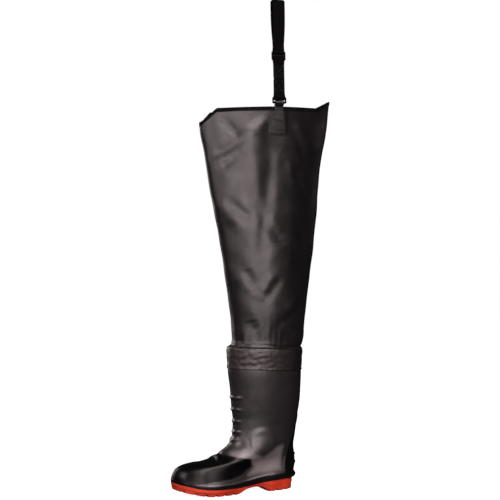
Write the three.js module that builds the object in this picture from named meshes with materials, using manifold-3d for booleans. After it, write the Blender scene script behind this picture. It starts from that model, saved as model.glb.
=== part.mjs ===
// A waist-high safety wader for the left leg, empty and standing on its sole: a moulded boot with a red outsole,
// a coated-fabric leg lapped round its shaft, and a webbing strap on the outer side that ends in a belt loop.
// Millimetres, +Z up, toe towards -X, outer side of the leg towards -Y.
// The origin is on the ground under the middle of the heel.
import * as THREE from "three";
import { mergeVertices } from "three/addons/utils/BufferGeometryUtils.js";
import Module from "manifold-3d";

const wasm = await Module();
wasm.setup();

// Outsole
const SOLE_LENGTH = 310;
const BALL_WIDTH = 112;
const HEEL_BACK = 42; // from the origin to the back of the heel
const HEEL_HEIGHT = 28; // ground to the top edge of the outsole at the heel
const FOREFOOT_HEIGHT = 16; // the same under the ball of the foot
const TOE_SPRING = 17; // how far the toe's underside lifts off the ground
const ARCH_RISE = 14;
const SOLE_INSET = 1.2; // the boot's rand overhangs the outsole by this
const SOLE_LEDGE = 1.6; // step along the outsole's side
const FLANGE_REACH = 2.6; // how far the outsole's side stands out at the ball of the foot
const TREAD_DEPTH = 5;
const TREAD_PITCH = 23;
const TREAD_GROOVE = 6.5;
const TREAD_SPINE = 15; // plain strip left along the middle of the tread
const TREAD_SLANT = 9; // how far a groove runs forward on its way in

// Moulded boot
const BOOT_WALL = 2.8;
const ANKLE_HEIGHT = 150;
const BOOT_HEIGHT = 340;
const RIM_TILT = 10; // front of the rim above its back
const SHAFT_DEPTH = 188; // front to back at the rim
const SHAFT_WIDTH = 114;
const SHAFT_CENTRE = 72; // from the back of the heel to the middle of the shaft
const RAND_HEIGHT = 17; // at the heel
const RAND_STEP = 2.4;
const TOE_CAP_START = 240; // from the back of the heel to the cap's back edge
const TOE_CAP_SWEEP = 9; // how far that edge runs forward at the sides
const TOE_CAP_STEP = 1.6;
const ANKLE_PAD_RADIUS = 32;
const ANKLE_PAD_STEP = 1.8;
const COUNTER_STEP = 1.3;
const FLEX_RIB = 2.4; // how far a flex rib stands out
const FLEX_RIB_WIDTH = 8;
const HEEL_RIB = 3.4;
const HEEL_RIB_WIDTH = 12;
const SPUR_REACH = 5;
const SPUR_WIDTH = 40;

// Insole
const INSOLE_THICKNESS = 4.5;

// Fabric leg
const LEG_WALL = 1;
const LEG_LAP = 49; // how far the leg reaches down over the boot's shaft
const LEG_HEIGHT = 925; // ground to the top line at the strap
const LEG_TOP_DEPTH = 340; // front crease to back crease at the top
const LEG_TOP_WIDTH = 96;
const HEM_HEIGHT = 9;
const HEM_STEP = 0.8;

// Strap
const WEBBING_WIDTH = 28;
const WEBBING = 1.6; // thickness
const TAB_WIDTH = 22;
const TAB_FOLD = 17; // how far the tab's end comes back down from the ring
const STRAP_FROM_HEEL = 57; // from the back of the heel to the strap's middle
const STRAP_LEAN = 1.2; // degrees towards the toe
const PATCH_HEIGHT = 43;
const PATCH_WALL = 1.2;
const BAR = 5; // height of the bars that the webbing turns round
const SIDE_BAR = 3.8;
const HARDWARE_THICKNESS = 3.2;
const HARDWARE_BEVEL = 0.8;
const RING_HEIGHT = 15.5;
const RING_LIFT = 6; // above the leg's top line
const SLIDER_HEIGHT = 21;
const STRAP_LENGTH = 106; // middle of the ring to middle of the slider
const STRAP_TAIL = 30; // how far each end of the strap comes back
const LOOP_LENGTH = 134; // middle of the slider to the top of the belt loop
const LOOP_WIDTH = 33;
const LOOP_OPENING = 14;

const GAP = 0.3; // between pieces that touch
const AROUND = 36; // points round a ring

const red = new THREE.MeshStandardMaterial({ color: 0xc63a22, roughness: 0.5 });
const blackMoulded = new THREE.MeshStandardMaterial({ color: 0x17171a, roughness: 0.4 });
const blackFabric = new THREE.MeshStandardMaterial({ color: 0x222123, roughness: 0.6 });
const blackWebbing = new THREE.MeshStandardMaterial({ color: 0x0d0d10, roughness: 0.9 });
const blackPlastic = new THREE.MeshStandardMaterial({ color: 0x0c0c0e, roughness: 0.35 });
const greyFelt = new THREE.MeshStandardMaterial({ color: 0x55565a, roughness: 0.95 });

const mix = (a, b, share) => a + (b - a) * share;

// Monotone cubic curve through one column of a table, read against another.
function curve(rows, key, column) {
  const x = rows.map((row) => row[key]);
  const y = rows.map((row) => row[column]);
  const slope = x.slice(1).map((end, i) => (y[i + 1] - y[i]) / (end - x[i]));
  const tangent = x.map((_, i) => {
    if (i === 0) return slope[0];
    if (i === x.length - 1) return slope[i - 1];
    return slope[i - 1] * slope[i] <= 0 ? 0 : (2 * slope[i - 1] * slope[i]) / (slope[i - 1] + slope[i]);
  });
  return (at) => {
    const inside = Math.min(Math.max(at, x[0]), x[x.length - 1]);
    const i = Math.max(0, x.findLastIndex((value, j) => value <= inside && j < x.length - 1));
    const span = x[i + 1] - x[i];
    const s = (inside - x[i]) / span;
    const fromLeft = y[i] * (1 + 2 * s) * (1 - s) ** 2 + tangent[i] * span * s * (1 - s) ** 2;
    return fromLeft + y[i + 1] * s * s * (3 - 2 * s) + tangent[i + 1] * span * s * s * (s - 1);
  };
}

// A point from its distance in front of the heel's back, its distance to the outer side, and its height.
const place = (ahead, out, up) => new THREE.Vector3(HEEL_BACK - ahead, -out, up);

// Plan outline of the foot, toe first and round by the outer side: shares of the sole's length and ball width.
const OUTLINE = [
  { ahead: 1.0, out: -0.05 },
  { ahead: 0.975, out: 0.15 },
  { ahead: 0.915, out: 0.315 },
  { ahead: 0.81, out: 0.445 },
  { ahead: 0.69, out: 0.495 },
  { ahead: 0.57, out: 0.455 },
  { ahead: 0.45, out: 0.385 },
  { ahead: 0.32, out: 0.35 },
  { ahead: 0.18, out: 0.345 },
  { ahead: 0.06, out: 0.255 },
  { ahead: 0.0, out: 0.0 },
  { ahead: 0.06, out: -0.255 },
  { ahead: 0.18, out: -0.34 },
  { ahead: 0.32, out: -0.325 },
  { ahead: 0.45, out: -0.335 },
  { ahead: 0.57, out: -0.415 },
  { ahead: 0.69, out: -0.485 },
  { ahead: 0.81, out: -0.485 },
  { ahead: 0.915, out: -0.395 },
  { ahead: 0.975, out: -0.245 },
];
const outlineCurve = new THREE.CatmullRomCurve3(
  OUTLINE.map((row) => new THREE.Vector3(row.ahead, row.out, 0)),
  true,
  "centripetal",
);

// Height of the outsole's top edge and underside, as shares of the named rises.
const SOLE_HEIGHTS = [
  { ahead: 0.0, heel: 1.0, toe: 0.0, arch: 0.0, spring: 0.0 },
  { ahead: 0.12, heel: 0.96, toe: 0.0, arch: 0.0, spring: 0.0 },
  { ahead: 0.25, heel: 0.73, toe: 0.0, arch: 0.0, spring: 0.0 },
  { ahead: 0.285, heel: 0.65, toe: 0.0, arch: 0.8, spring: 0.0 },
  { ahead: 0.35, heel: 0.42, toe: 0.0, arch: 1.0, spring: 0.0 },
  { ahead: 0.43, heel: 0.14, toe: 0.0, arch: 0.8, spring: 0.0 },
  { ahead: 0.5, heel: 0.03, toe: 0.0, arch: 0.12, spring: 0.0 },
  { ahead: 0.52, heel: 0.0, toe: 0.0, arch: 0.0, spring: 0.0 },
  { ahead: 0.72, heel: 0.0, toe: 0.05, arch: 0.0, spring: 0.0 },
  { ahead: 0.81, heel: 0.0, toe: 0.22, arch: 0.0, spring: 0.2 },
  { ahead: 0.88, heel: 0.0, toe: 0.46, arch: 0.0, spring: 0.45 },
  { ahead: 0.94, heel: 0.0, toe: 0.72, arch: 0.0, spring: 0.68 },
  { ahead: 1.0, heel: 0.0, toe: 1.02, arch: 0.0, spring: 1.0 },
];
const heelShare = curve(SOLE_HEIGHTS, "ahead", "heel");
const toeShare = curve(SOLE_HEIGHTS, "ahead", "toe");
const archShare = curve(SOLE_HEIGHTS, "ahead", "arch");
const springShare = curve(SOLE_HEIGHTS, "ahead", "spring");
const soleTop = (ahead) =>
  FOREFOOT_HEIGHT +
  heelShare(ahead / SOLE_LENGTH) * (HEEL_HEIGHT - FOREFOOT_HEIGHT) +
  toeShare(ahead / SOLE_LENGTH) * TOE_SPRING;
const soleUnderside = (ahead) =>
  archShare(ahead / SOLE_LENGTH) * ARCH_RISE + springShare(ahead / SOLE_LENGTH) * TOE_SPRING;

// How far the outsole's side stands out at the ball of the foot.
const FLANGE = [
  { ahead: 0.0, reach: 0.0 },
  { ahead: 0.58, reach: 0.0 },
  { ahead: 0.62, reach: 1.0 },
  { ahead: 0.84, reach: 1.0 },
  { ahead: 0.88, reach: 0.0 },
  { ahead: 1.0, reach: 0.0 },
];
const flangeShare = curve(FLANGE, "ahead", "reach");

// Height of the rand, as a share of its height at the heel.
const RAND = [
  { ahead: 0.0, height: 1.0 },
  { ahead: 0.35, height: 1.0 },
  { ahead: 0.62, height: 0.68 },
  { ahead: 1.0, height: 0.5 },
];
const randShare = curve(RAND, "ahead", "height");

// Levels of the foot from the sole to the ankle. A level leans: front and back give its two ends in side view, ahead as a
// share of the sole's length and up as a share of the ankle's height. Half widths are shares of the ball width, oval turns
// the foot's outline into an oval, and follow is how far the level keeps to the sole's curve.
const FOOT_LEVELS = [
  { front: 0.992, frontUp: 0.16, back: 0.002, backUp: 0.13, outer: 0.479, inner: 0.479, oval: 0.0, follow: 1.0 },
  { front: 0.99, frontUp: 0.265, back: -0.006, backUp: 0.3, outer: 0.479, inner: 0.479, oval: 0.0, follow: 1.0 },
  { front: 0.985, frontUp: 0.315, back: -0.012, backUp: 0.345, outer: 0.46, inner: 0.462, oval: 0.0, follow: 1.0 },
  { front: 0.975, frontUp: 0.36, back: -0.016, backUp: 0.39, outer: 0.438, inner: 0.444, oval: 0.0, follow: 0.95 },
  { front: 0.96, frontUp: 0.402, back: -0.017, backUp: 0.43, outer: 0.42, inner: 0.428, oval: 0.05, follow: 0.85 },
  { front: 0.937, frontUp: 0.435, back: -0.017, backUp: 0.465, outer: 0.408, inner: 0.416, oval: 0.1, follow: 0.75 },
  { front: 0.905, frontUp: 0.459, back: -0.016, backUp: 0.5, outer: 0.403, inner: 0.407, oval: 0.18, follow: 0.63 },
  { front: 0.866, frontUp: 0.474, back: -0.014, backUp: 0.532, outer: 0.403, inner: 0.403, oval: 0.28, follow: 0.5 },
  { front: 0.822, frontUp: 0.482, back: -0.012, backUp: 0.563, outer: 0.407, inner: 0.403, oval: 0.4, follow: 0.38 },
  { front: 0.776, frontUp: 0.493, back: -0.01, backUp: 0.595, outer: 0.412, inner: 0.405, oval: 0.52, follow: 0.28 },
  { front: 0.727, frontUp: 0.516, back: -0.007, backUp: 0.627, outer: 0.413, inner: 0.406, oval: 0.64, follow: 0.18 },
  { front: 0.679, frontUp: 0.548, back: -0.005, backUp: 0.66, outer: 0.413, inner: 0.405, oval: 0.74, follow: 0.1 },
  { front: 0.631, frontUp: 0.593, back: -0.004, backUp: 0.695, outer: 0.411, inner: 0.404, oval: 0.83, follow: 0.04 },
  { front: 0.585, frontUp: 0.655, back: -0.004, backUp: 0.733, outer: 0.408, inner: 0.402, oval: 0.9, follow: 0.0 },
  { front: 0.545, frontUp: 0.725, back: -0.007, backUp: 0.777, outer: 0.403, inner: 0.399, oval: 0.96, follow: 0.0 },
  { front: 0.518, frontUp: 0.805, back: -0.012, backUp: 0.83, outer: 0.398, inner: 0.395, oval: 1.0, follow: 0.0 },
  { front: 0.502, frontUp: 0.9, back: -0.018, backUp: 0.91, outer: 0.393, inner: 0.392, oval: 1.0, follow: 0.0 },
];

// Levels of the shaft from the ankle to the rim: up as a share of the shaft's height, front and back as shares of its depth
// from its middle, half width as a share of its width.
const SHAFT_LEVELS = [
  { up: 0.0, front: 0.437, back: 0.423, half: 0.388 },
  { up: 0.12, front: 0.436, back: 0.444, half: 0.401 },
  { up: 0.235, front: 0.452, back: 0.467, half: 0.422 },
  { up: 0.36, front: 0.461, back: 0.484, half: 0.446 },
  { up: 0.49, front: 0.471, back: 0.492, half: 0.466 },
  { up: 0.742, front: 0.5, back: 0.5, half: 0.494 },
  { up: 1.0, front: 0.5, back: 0.5, half: 0.5 },
];
const shaftHeight = BOOT_HEIGHT - ANKLE_HEIGHT;

const footLevel = (row) => ({
  front: row.front * SOLE_LENGTH,
  frontUp: row.frontUp * ANKLE_HEIGHT,
  back: row.back * SOLE_LENGTH,
  backUp: row.backUp * ANKLE_HEIGHT,
  outer: row.outer * BALL_WIDTH,
  inner: row.inner * BALL_WIDTH,
  oval: row.oval,
  follow: row.follow,
  crease: 0.5,
});
const shaftLevel = (row) => ({
  front: SHAFT_CENTRE + row.front * SHAFT_DEPTH,
  frontUp: ANKLE_HEIGHT + row.up * (shaftHeight + RIM_TILT / 2),
  back: SHAFT_CENTRE - row.back * SHAFT_DEPTH,
  backUp: ANKLE_HEIGHT + row.up * (shaftHeight - RIM_TILT / 2),
  outer: row.half * SHAFT_WIDTH,
  inner: row.half * SHAFT_WIDTH,
  oval: 1,
  follow: 0,
  crease: 0.5,
});

// One closed ring of points on a level.
function ringAt(level) {
  const endTop = [soleTop(level.back), soleTop(level.front)];
  return Array.from({ length: AROUND }, (_, k) => {
    const foot = outlineCurve.getPoint(k / AROUND);
    const turn = (2 * Math.PI * k) / AROUND;
    const bulge = Math.sign(Math.sin(turn)) * Math.abs(Math.sin(turn)) ** (2 * level.crease);
    const along = mix(foot.x, (1 + Math.cos(turn)) / 2, level.oval);
    const across = mix(foot.y * 2, bulge, level.oval);
    const ahead = mix(level.back, level.front, along);
    const sag = mix(endTop[0], endTop[1], along) - soleTop(ahead);
    const up = mix(level.backUp, level.frontUp, along) - level.follow * sag;
    return place(ahead, across * (across > 0 ? level.outer : level.inner), up);
  });
}

// The same rings moved out, with the corners round a ring mitred so that the faces keep their distance.
const MITRE_LIMIT = 0.4;
function swell(rings, distance) {
  return rings.map((ring, r) =>
    ring.map((point, k) => {
      const arriving = point.clone().sub(ring[(k + AROUND - 1) % AROUND]);
      const leaving = ring[(k + 1) % AROUND].clone().sub(point);
      const above = rings[Math.min(r + 1, rings.length - 1)][k];
      const below = rings[Math.max(r - 1, 0)][k];
      const rising = above.clone().sub(below);
      const face = arriving.cross(rising).normalize();
      const normal = leaving.cross(rising).normalize().add(face).normalize();
      return point.clone().addScaledVector(normal, distance / Math.max(normal.dot(face), MITRE_LIMIT));
    }),
  );
}

// Closed solid through rings of points, from the lowest ring to the highest, with a flat strip across each end.
function loft(rings) {
  const positions = rings.flat().flatMap((point) => [point.x, point.y, point.z]);
  const at = (r, k) => r * AROUND + ((k + AROUND) % AROUND);
  const faces = [];
  for (let r = 0; r < rings.length - 1; r++)
    for (let k = 0; k < AROUND; k++) {
      faces.push(at(r, k), at(r, k + 1), at(r + 1, k + 1));
      faces.push(at(r, k), at(r + 1, k + 1), at(r + 1, k));
    }
  const top = rings.length - 1;
  for (let k = 0; k < AROUND / 2; k++) {
    const strip = [k, k + 1, -k - 1, -k];
    const corners = strip.filter((corner, i) => i === strip.findIndex((other) => at(0, other) === at(0, corner)));
    for (let i = 1; i < corners.length - 1; i++) {
      faces.push(at(top, corners[0]), at(top, corners[i]), at(top, corners[i + 1]));
      faces.push(at(0, corners[0]), at(0, corners[i + 1]), at(0, corners[i]));
    }
  }
  const geometry = new THREE.BufferGeometry();
  geometry.setAttribute("position", new THREE.Float32BufferAttribute(positions, 3));
  geometry.setIndex(faces);
  return solid(geometry);
}

function solid(geometry) {
  const bare = geometry.index ? geometry.clone() : mergeVertices(geometry);
  for (const name of Object.keys(bare.attributes)) if (name !== "position") bare.deleteAttribute(name);
  const merged = mergeVertices(bare, 1e-4);
  return new wasm.Manifold(
    new wasm.Mesh({
      numProp: 3,
      vertProperties: new Float32Array(merged.attributes.position.array),
      triVerts: new Uint32Array(merged.index.array),
    }),
  );
}

function meshOf(name, manifold, material) {
  const made = manifold.getMesh();
  const geometry = new THREE.BufferGeometry();
  geometry.setAttribute("position", new THREE.BufferAttribute(made.vertProperties, 3));
  geometry.setIndex(new THREE.BufferAttribute(made.triVerts, 1));
  const mesh = new THREE.Mesh(geometry, material);
  mesh.name = name;
  return mesh;
}

const joined = (solids) => solids.reduce((all, next) => all.add(next));

// Prism across the boot from a side-view outline of [ahead, up] pairs.
function sidePrism(outline, fromOut = -BALL_WIDTH, toOut = BALL_WIDTH) {
  const shape = new THREE.Shape(outline.map(([ahead, up]) => new THREE.Vector2(HEEL_BACK - ahead, up)));
  const geometry = new THREE.ExtrudeGeometry(shape, { depth: toOut - fromOut, bevelEnabled: false });
  geometry.rotateX(Math.PI / 2);
  geometry.translate(0, -fromOut, 0);
  return solid(geometry);
}

// Upright prism from a plan outline of [ahead, out] pairs.
function planPrism(outline, low, high) {
  const shape = new THREE.Shape(outline.map(([ahead, out]) => new THREE.Vector2(HEEL_BACK - ahead, -out)));
  const geometry = new THREE.ExtrudeGeometry(shape, { depth: high - low, bevelEnabled: false });
  geometry.translate(0, 0, low);
  return solid(geometry);
}

// Everything below the outsole's top surface, raised by lift.
const PROFILE_STEPS = 40;
const PROFILE_REACH = 20; // the prisms run this far past the heel and toe
const profileStations = Array.from({ length: PROFILE_STEPS + 1 }, (_, i) => (i / PROFILE_STEPS) * SOLE_LENGTH);
function underSoleTop(lift) {
  const line = profileStations.map((ahead) => [ahead, soleTop(ahead) + lift]);
  const past = SOLE_LENGTH + PROFILE_REACH;
  const low = -PROFILE_REACH;
  return sidePrism([[low, low], [low, line[0][1]], ...line, [past, line[PROFILE_STEPS][1]], [past, low]]);
}

// Outsole: side with a ledge, cut to its top and underside, then grooved.
function outsole() {
  const sideRows = [
    { share: -0.5, inset: SOLE_LEDGE + 1.6, flange: 0 },
    { share: 0.02, inset: SOLE_LEDGE + 1.2, flange: 0 },
    { share: 0.16, inset: SOLE_LEDGE, flange: 0 },
    { share: 0.48, inset: SOLE_LEDGE, flange: 0 },
    { share: 0.56, inset: 0, flange: 1 },
    { share: 0.92, inset: 0, flange: 1 },
    { share: 1.0, inset: 0, flange: 0 },
    { share: 1.3, inset: 0, flange: 0 },
  ];
  const rings = sideRows.map(({ share, inset, flange }) =>
    Array.from({ length: AROUND }, (_, k) => {
      const foot = outlineCurve.getPoint(k / AROUND);
      const edge = SOLE_INSET + inset - flange * flangeShare(foot.x) * FLANGE_REACH;
      const ahead = mix(edge, SOLE_LENGTH - edge, foot.x);
      const out = foot.y * (BALL_WIDTH - 2 * edge);
      return place(ahead, out, mix(soleUnderside(ahead), soleTop(ahead), share));
    }),
  );
  const underside = profileStations.map((ahead) => [ahead, soleUnderside(ahead)]);
  const top = profileStations.map((ahead) => [ahead, soleTop(ahead)]).reverse();
  const body = loft(rings).intersect(sidePrism([...underside, ...top]));
  return body.subtract(joined(treadGrooves()));
}

// Slanted grooves from each side to the plain strip along the middle, staggered from side to side.
function treadGrooves() {
  const grooves = [];
  const edge = BALL_WIDTH;
  const inner = TREAD_SPINE / 2;
  const zones = [
    { from: 0.045 * SOLE_LENGTH, to: 0.27 * SOLE_LENGTH },
    { from: 0.5 * SOLE_LENGTH, to: 0.95 * SOLE_LENGTH },
  ];
  for (const { from, to } of zones)
    for (const side of [-1, 1]) {
      const start = from + (side > 0 ? TREAD_PITCH / 2 : 0);
      for (let ahead = start; ahead + TREAD_GROOVE < to; ahead += TREAD_PITCH) {
        const slantAtEdge = (TREAD_SLANT * (edge - inner)) / (BALL_WIDTH / 2 - inner);
        const outline = [
          [ahead + TREAD_SLANT, side * inner],
          [ahead + TREAD_SLANT - slantAtEdge, side * edge],
          [ahead + TREAD_SLANT - slantAtEdge + TREAD_GROOVE, side * edge],
          [ahead + TREAD_SLANT + TREAD_GROOVE, side * inner],
        ];
        const roof = soleUnderside(ahead + TREAD_GROOVE) + TREAD_DEPTH;
        grooves.push(planPrism(outline, -TREAD_DEPTH, roof));
      }
    }
  return grooves;
}

// The boot's outer form without its raised parts; the inside of the wall is the same form swelled inwards.
const bootRings = [...FOOT_LEVELS.map(footLevel), ...SHAFT_LEVELS.map(shaftLevel)].map(ringAt);
const bootForm = (distance) => loft(swell(bootRings, distance));
const INSTEP_LEVELS = { from: 9, to: 17 }; // the inside keeps every level here, and every second one elsewhere
function bootInside(wall) {
  const rings = swell(bootRings, -wall).filter(
    (_, r, { length }) => r % 2 === 0 || r === length - 1 || (r >= INSTEP_LEVELS.from && r <= INSTEP_LEVELS.to),
  );
  const rim = rings[rings.length - 1].map((point) => point.clone().setZ(point.z + PROFILE_REACH));
  return loft([...rings, rim]);
}

// Band round the bottom of the boot that overhangs the outsole.
function rand() {
  const rows = [
    { share: -0.4, inset: 0 },
    { share: 0.82, inset: 0 },
    { share: 1.0, inset: RAND_STEP * 0.75 },
  ];
  return loft(
    rows.map(({ share, inset }) =>
      Array.from({ length: AROUND }, (_, k) => {
        const foot = outlineCurve.getPoint(k / AROUND);
        const ahead = mix(inset, SOLE_LENGTH - inset, foot.x);
        const height = randShare(foot.x) * RAND_HEIGHT;
        return place(ahead, foot.y * (BALL_WIDTH - 2 * inset), soleTop(ahead) + share * height);
      }),
    ),
  );
}

function toeCap() {
  const edge = BALL_WIDTH;
  const back = Array.from({ length: 9 }, (_, i) => {
    const out = mix(-edge, edge, i / 8);
    return [TOE_CAP_START + TOE_CAP_SWEEP * (out / (BALL_WIDTH / 2)) ** 2, out];
  });
  const past = TOE_CAP_START + TOE_CAP_SWEEP * 4 + SOLE_LENGTH;
  const region = planPrism([...back, [past, edge], [past, -edge]], 0, ANKLE_HEIGHT);
  return bootForm(TOE_CAP_STEP).intersect(region);
}

// Round pads over the ankle bones, one on each side.
const ANKLE_PAD_AHEAD = 0.303 * SOLE_LENGTH;
const ANKLE_PAD_UP = 0.8 * ANKLE_HEIGHT;
function anklePads() {
  const disc = (radius) =>
    Array.from({ length: 18 }, (_, i) => {
      const turn = (i / 18) * 2 * Math.PI;
      return [ANKLE_PAD_AHEAD + radius * Math.cos(turn), ANKLE_PAD_UP + radius * Math.sin(turn)];
    });
  return bootForm(ANKLE_PAD_STEP).intersect(sidePrism(disc(ANKLE_PAD_RADIUS)));
}

// Raised patch round the back of the heel that runs up to a point.
const COUNTER = [
  { ahead: 0.115, up: 0.24 },
  { ahead: 0.11, up: 0.45 },
  { ahead: 0.085, up: 0.65 },
  { ahead: 0.03, up: 0.93 },
  { ahead: -0.035, up: 1.2 },
  { ahead: -0.1, up: 1.2 },
  { ahead: -0.1, up: 0.24 },
];
const counterPatch = () =>
  bootForm(COUNTER_STEP).intersect(
    sidePrism(COUNTER.map(({ ahead, up }) => [ahead * SOLE_LENGTH, up * ANKLE_HEIGHT])),
  );

// Flex ribs across the shin and instep: ahead and up place a rib on the front profile, lean turns it to lie square to it.
const FLEX_RIBS = [
  { ahead: 0.5, up: 1.5, lean: 0 },
  { ahead: 0.5, up: 1.31, lean: 0 },
  { ahead: 0.5, up: 1.12, lean: 0 },
  { ahead: 0.5, up: 0.95, lean: 6 },
  { ahead: 0.515, up: 0.82, lean: 24 },
  { ahead: 0.565, up: 0.705, lean: 44 },
  { ahead: 0.625, up: 0.62, lean: 58 },
];
const RIB_REACH = 0.11; // how far back a rib runs, as a share of the shaft's depth
function flexRibs() {
  const swollen = bootForm(FLEX_RIB);
  return FLEX_RIBS.map(({ ahead, up, lean }) => {
    const depth = RIB_REACH * SHAFT_DEPTH;
    const slab = new THREE.BoxGeometry(2 * depth, BALL_WIDTH, FLEX_RIB_WIDTH);
    slab.rotateY(THREE.MathUtils.degToRad(lean));
    const centre = place(ahead * SOLE_LENGTH, 0, up * ANKLE_HEIGHT);
    slab.translate(centre.x, centre.y, centre.z);
    return swollen.intersect(solid(slab));
  });
}

// Kick-off ribs on the back of the heel, with the spur below them.
const HEEL_RIBS = [{ up: 0.55 }, { up: 0.42 }];
function heelRibs() {
  const swollen = bootForm(HEEL_RIB);
  const half = 0.24 * BALL_WIDTH;
  return HEEL_RIBS.map(({ up }) => {
    const middle = up * ANKLE_HEIGHT;
    const depth = 0.05 * SOLE_LENGTH;
    const low = middle - HEEL_RIB_WIDTH / 2;
    const high = middle + HEEL_RIB_WIDTH / 2;
    const wedge = [[depth, low], [-depth, middle - HEEL_RIB_WIDTH / 5], [-depth, middle], [depth, high]];
    return swollen.intersect(sidePrism(wedge, -half, half));
  });
}
function spur() {
  const root = 0.03 * SOLE_LENGTH;
  const low = HEEL_HEIGHT + 1.5;
  const high = low + RAND_HEIGHT;
  const section = [[root, low], [-SPUR_REACH, low + 2], [-SPUR_REACH, mix(low, high, 0.4)], [-SPUR_REACH * 0.6, high], [root, high]];
  return sidePrism(section, -SPUR_WIDTH / 2, SPUR_WIDTH / 2);
}

function upper() {
  const outside = joined([
    bootForm(0),
    rand(),
    toeCap(),
    anklePads(),
    counterPatch(),
    ...flexRibs(),
    ...heelRibs(),
    spur(),
  ]);
  return outside.subtract(bootInside(BOOT_WALL)).subtract(underSoleTop(GAP));
}

function insole() {
  const sheet = underSoleTop(GAP + INSOLE_THICKNESS).subtract(underSoleTop(GAP));
  return bootInside(BOOT_WALL + GAP).intersect(sheet);
}

// Levels of the fabric leg above the boot: up as a share of the height from the rim to the top line, front and back as
// shares of the top depth from the shaft's middle, half width as a share of the top width. Crease is 0.5 on an ellipse and
// rises to 1 on a lens with a sharp fold at its front and back.
const LEG_LEVELS = [
  { up: 0.014, front: 0.258, back: 0.262, half: 0.57, crease: 0.5 },
  { up: 0.03, front: 0.243, back: 0.272, half: 0.545, crease: 0.5 },
  { up: 0.075, front: 0.248, back: 0.297, half: 0.56, crease: 0.52 },
  { up: 0.2, front: 0.274, back: 0.328, half: 0.6, crease: 0.58 },
  { up: 0.32, front: 0.309, back: 0.36, half: 0.61, crease: 0.64 },
  { up: 0.445, front: 0.347, back: 0.385, half: 0.6, crease: 0.7 },
  { up: 0.69, front: 0.426, back: 0.429, half: 0.555, crease: 0.8 },
  { up: 0.81, front: 0.463, back: 0.457, half: 0.525, crease: 0.84 },
  { up: 0.9, front: 0.492, back: 0.485, half: 0.505, crease: 0.86 },
  { up: 1.06, front: 0.5, back: 0.518, half: 0.48, crease: 0.88 },
];
const legLevel = (row) => {
  const rise = row.up * (LEG_HEIGHT - BOOT_HEIGHT);
  const level = (tilt) => BOOT_HEIGHT + Math.max(0, 1 - 10 * row.up) * tilt + rise;
  return {
    front: SHAFT_CENTRE + row.front * LEG_TOP_DEPTH,
    frontUp: level(RIM_TILT / 2),
    back: SHAFT_CENTRE - row.back * LEG_TOP_DEPTH,
    backUp: level(-RIM_TILT / 2),
    outer: row.half * LEG_TOP_WIDTH,
    inner: row.half * LEG_TOP_WIDTH,
    oval: 1,
    follow: 0,
    crease: row.crease,
  };
};

// Top line of the leg in side view: ahead as a share of the top depth from the shaft's middle, drop below the leg's height
// as a share of the top depth. The front corner is cut at a slant, and the back crease stands up in a point.
const TOP_LINE = [
  { ahead: 0.6, drop: 0.2 },
  { ahead: 0.492, drop: 0.13 },
  { ahead: 0.391, drop: 0.033 },
  { ahead: 0.0, drop: 0.012 },
  { ahead: -0.403, drop: 0.0 },
  { ahead: -0.509, drop: -0.056 },
  { ahead: -0.6, drop: -0.1 },
];
function aboveTopLine(lowered) {
  const line = TOP_LINE.map(({ ahead, drop }) => [
    SHAFT_CENTRE + ahead * LEG_TOP_DEPTH,
    LEG_HEIGHT - drop * LEG_TOP_DEPTH - lowered,
  ]);
  const roof = LEG_HEIGHT + LEG_TOP_DEPTH;
  return sidePrism([...line, [line[line.length - 1][0], roof], [line[0][0], roof]], -LEG_TOP_DEPTH, LEG_TOP_DEPTH);
}

// The lap is the boot's own shaft swelled outwards; the rest of the leg follows its levels.
const lapShare = 1 - LEG_LAP / shaftHeight;
const rimRow = SHAFT_LEVELS[SHAFT_LEVELS.length - 1];
const lapRows = [{ ...rimRow, up: lapShare }, { ...rimRow, up: 1.012 }];
const lapRings = swell(lapRows.map(shaftLevel).map(ringAt), LEG_WALL + GAP);
const legRings = [...lapRings, ...LEG_LEVELS.map(legLevel).map(ringAt)];
const legForm = (distance) => loft(swell(legRings, distance));
function legInside() {
  const rings = swell(legRings, -LEG_WALL);
  const below = rings[0].map((point) => point.clone().setZ(point.z - PROFILE_REACH));
  const above = rings[rings.length - 1].map((point) => point.clone().setZ(point.z + PROFILE_REACH));
  return loft([below, ...rings, above]);
}
function leg() {
  const hem = legForm(HEM_STEP).intersect(aboveTopLine(HEM_HEIGHT));
  return legForm(0).add(hem).subtract(legInside()).subtract(aboveTopLine(0));
}

// Patch on the outer side that the strap's tab is sewn to, cut from the leg's own form.
function anchorPatch() {
  const top = LEG_HEIGHT - 0.02 * LEG_TOP_DEPTH - HEM_HEIGHT - 1;
  const outline = [
    [STRAP_FROM_HEEL - WEBBING_WIDTH * 0.52, top],
    [STRAP_FROM_HEEL - WEBBING_WIDTH * 0.66, top - PATCH_HEIGHT],
    [STRAP_FROM_HEEL + WEBBING_WIDTH * 0.66, top - PATCH_HEIGHT],
    [STRAP_FROM_HEEL + WEBBING_WIDTH * 0.52, top],
  ];
  return legForm(GAP + PATCH_WALL)
    .subtract(legForm(GAP))
    .intersect(sidePrism(outline, 0, LEG_TOP_WIDTH));
}

// Distance from the leg's middle to its outer face at a place in side view, from the levels just below and above.
function legOut(ahead, up) {
  const rows = LEG_LEVELS.map(legLevel);
  const height = (row) => (row.frontUp + row.backUp) / 2;
  const i = Math.min(rows.filter((row) => height(row) <= up).length, rows.length - 1) - 1;
  const share = (up - height(rows[i])) / (height(rows[i + 1]) - height(rows[i]));
  const at = (key) => mix(rows[i][key], rows[i + 1][key], share);
  const along = (ahead - at("back")) / (at("front") - at("back"));
  return at("outer") * (1 - (2 * along - 1) ** 2) ** at("crease");
}

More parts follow.
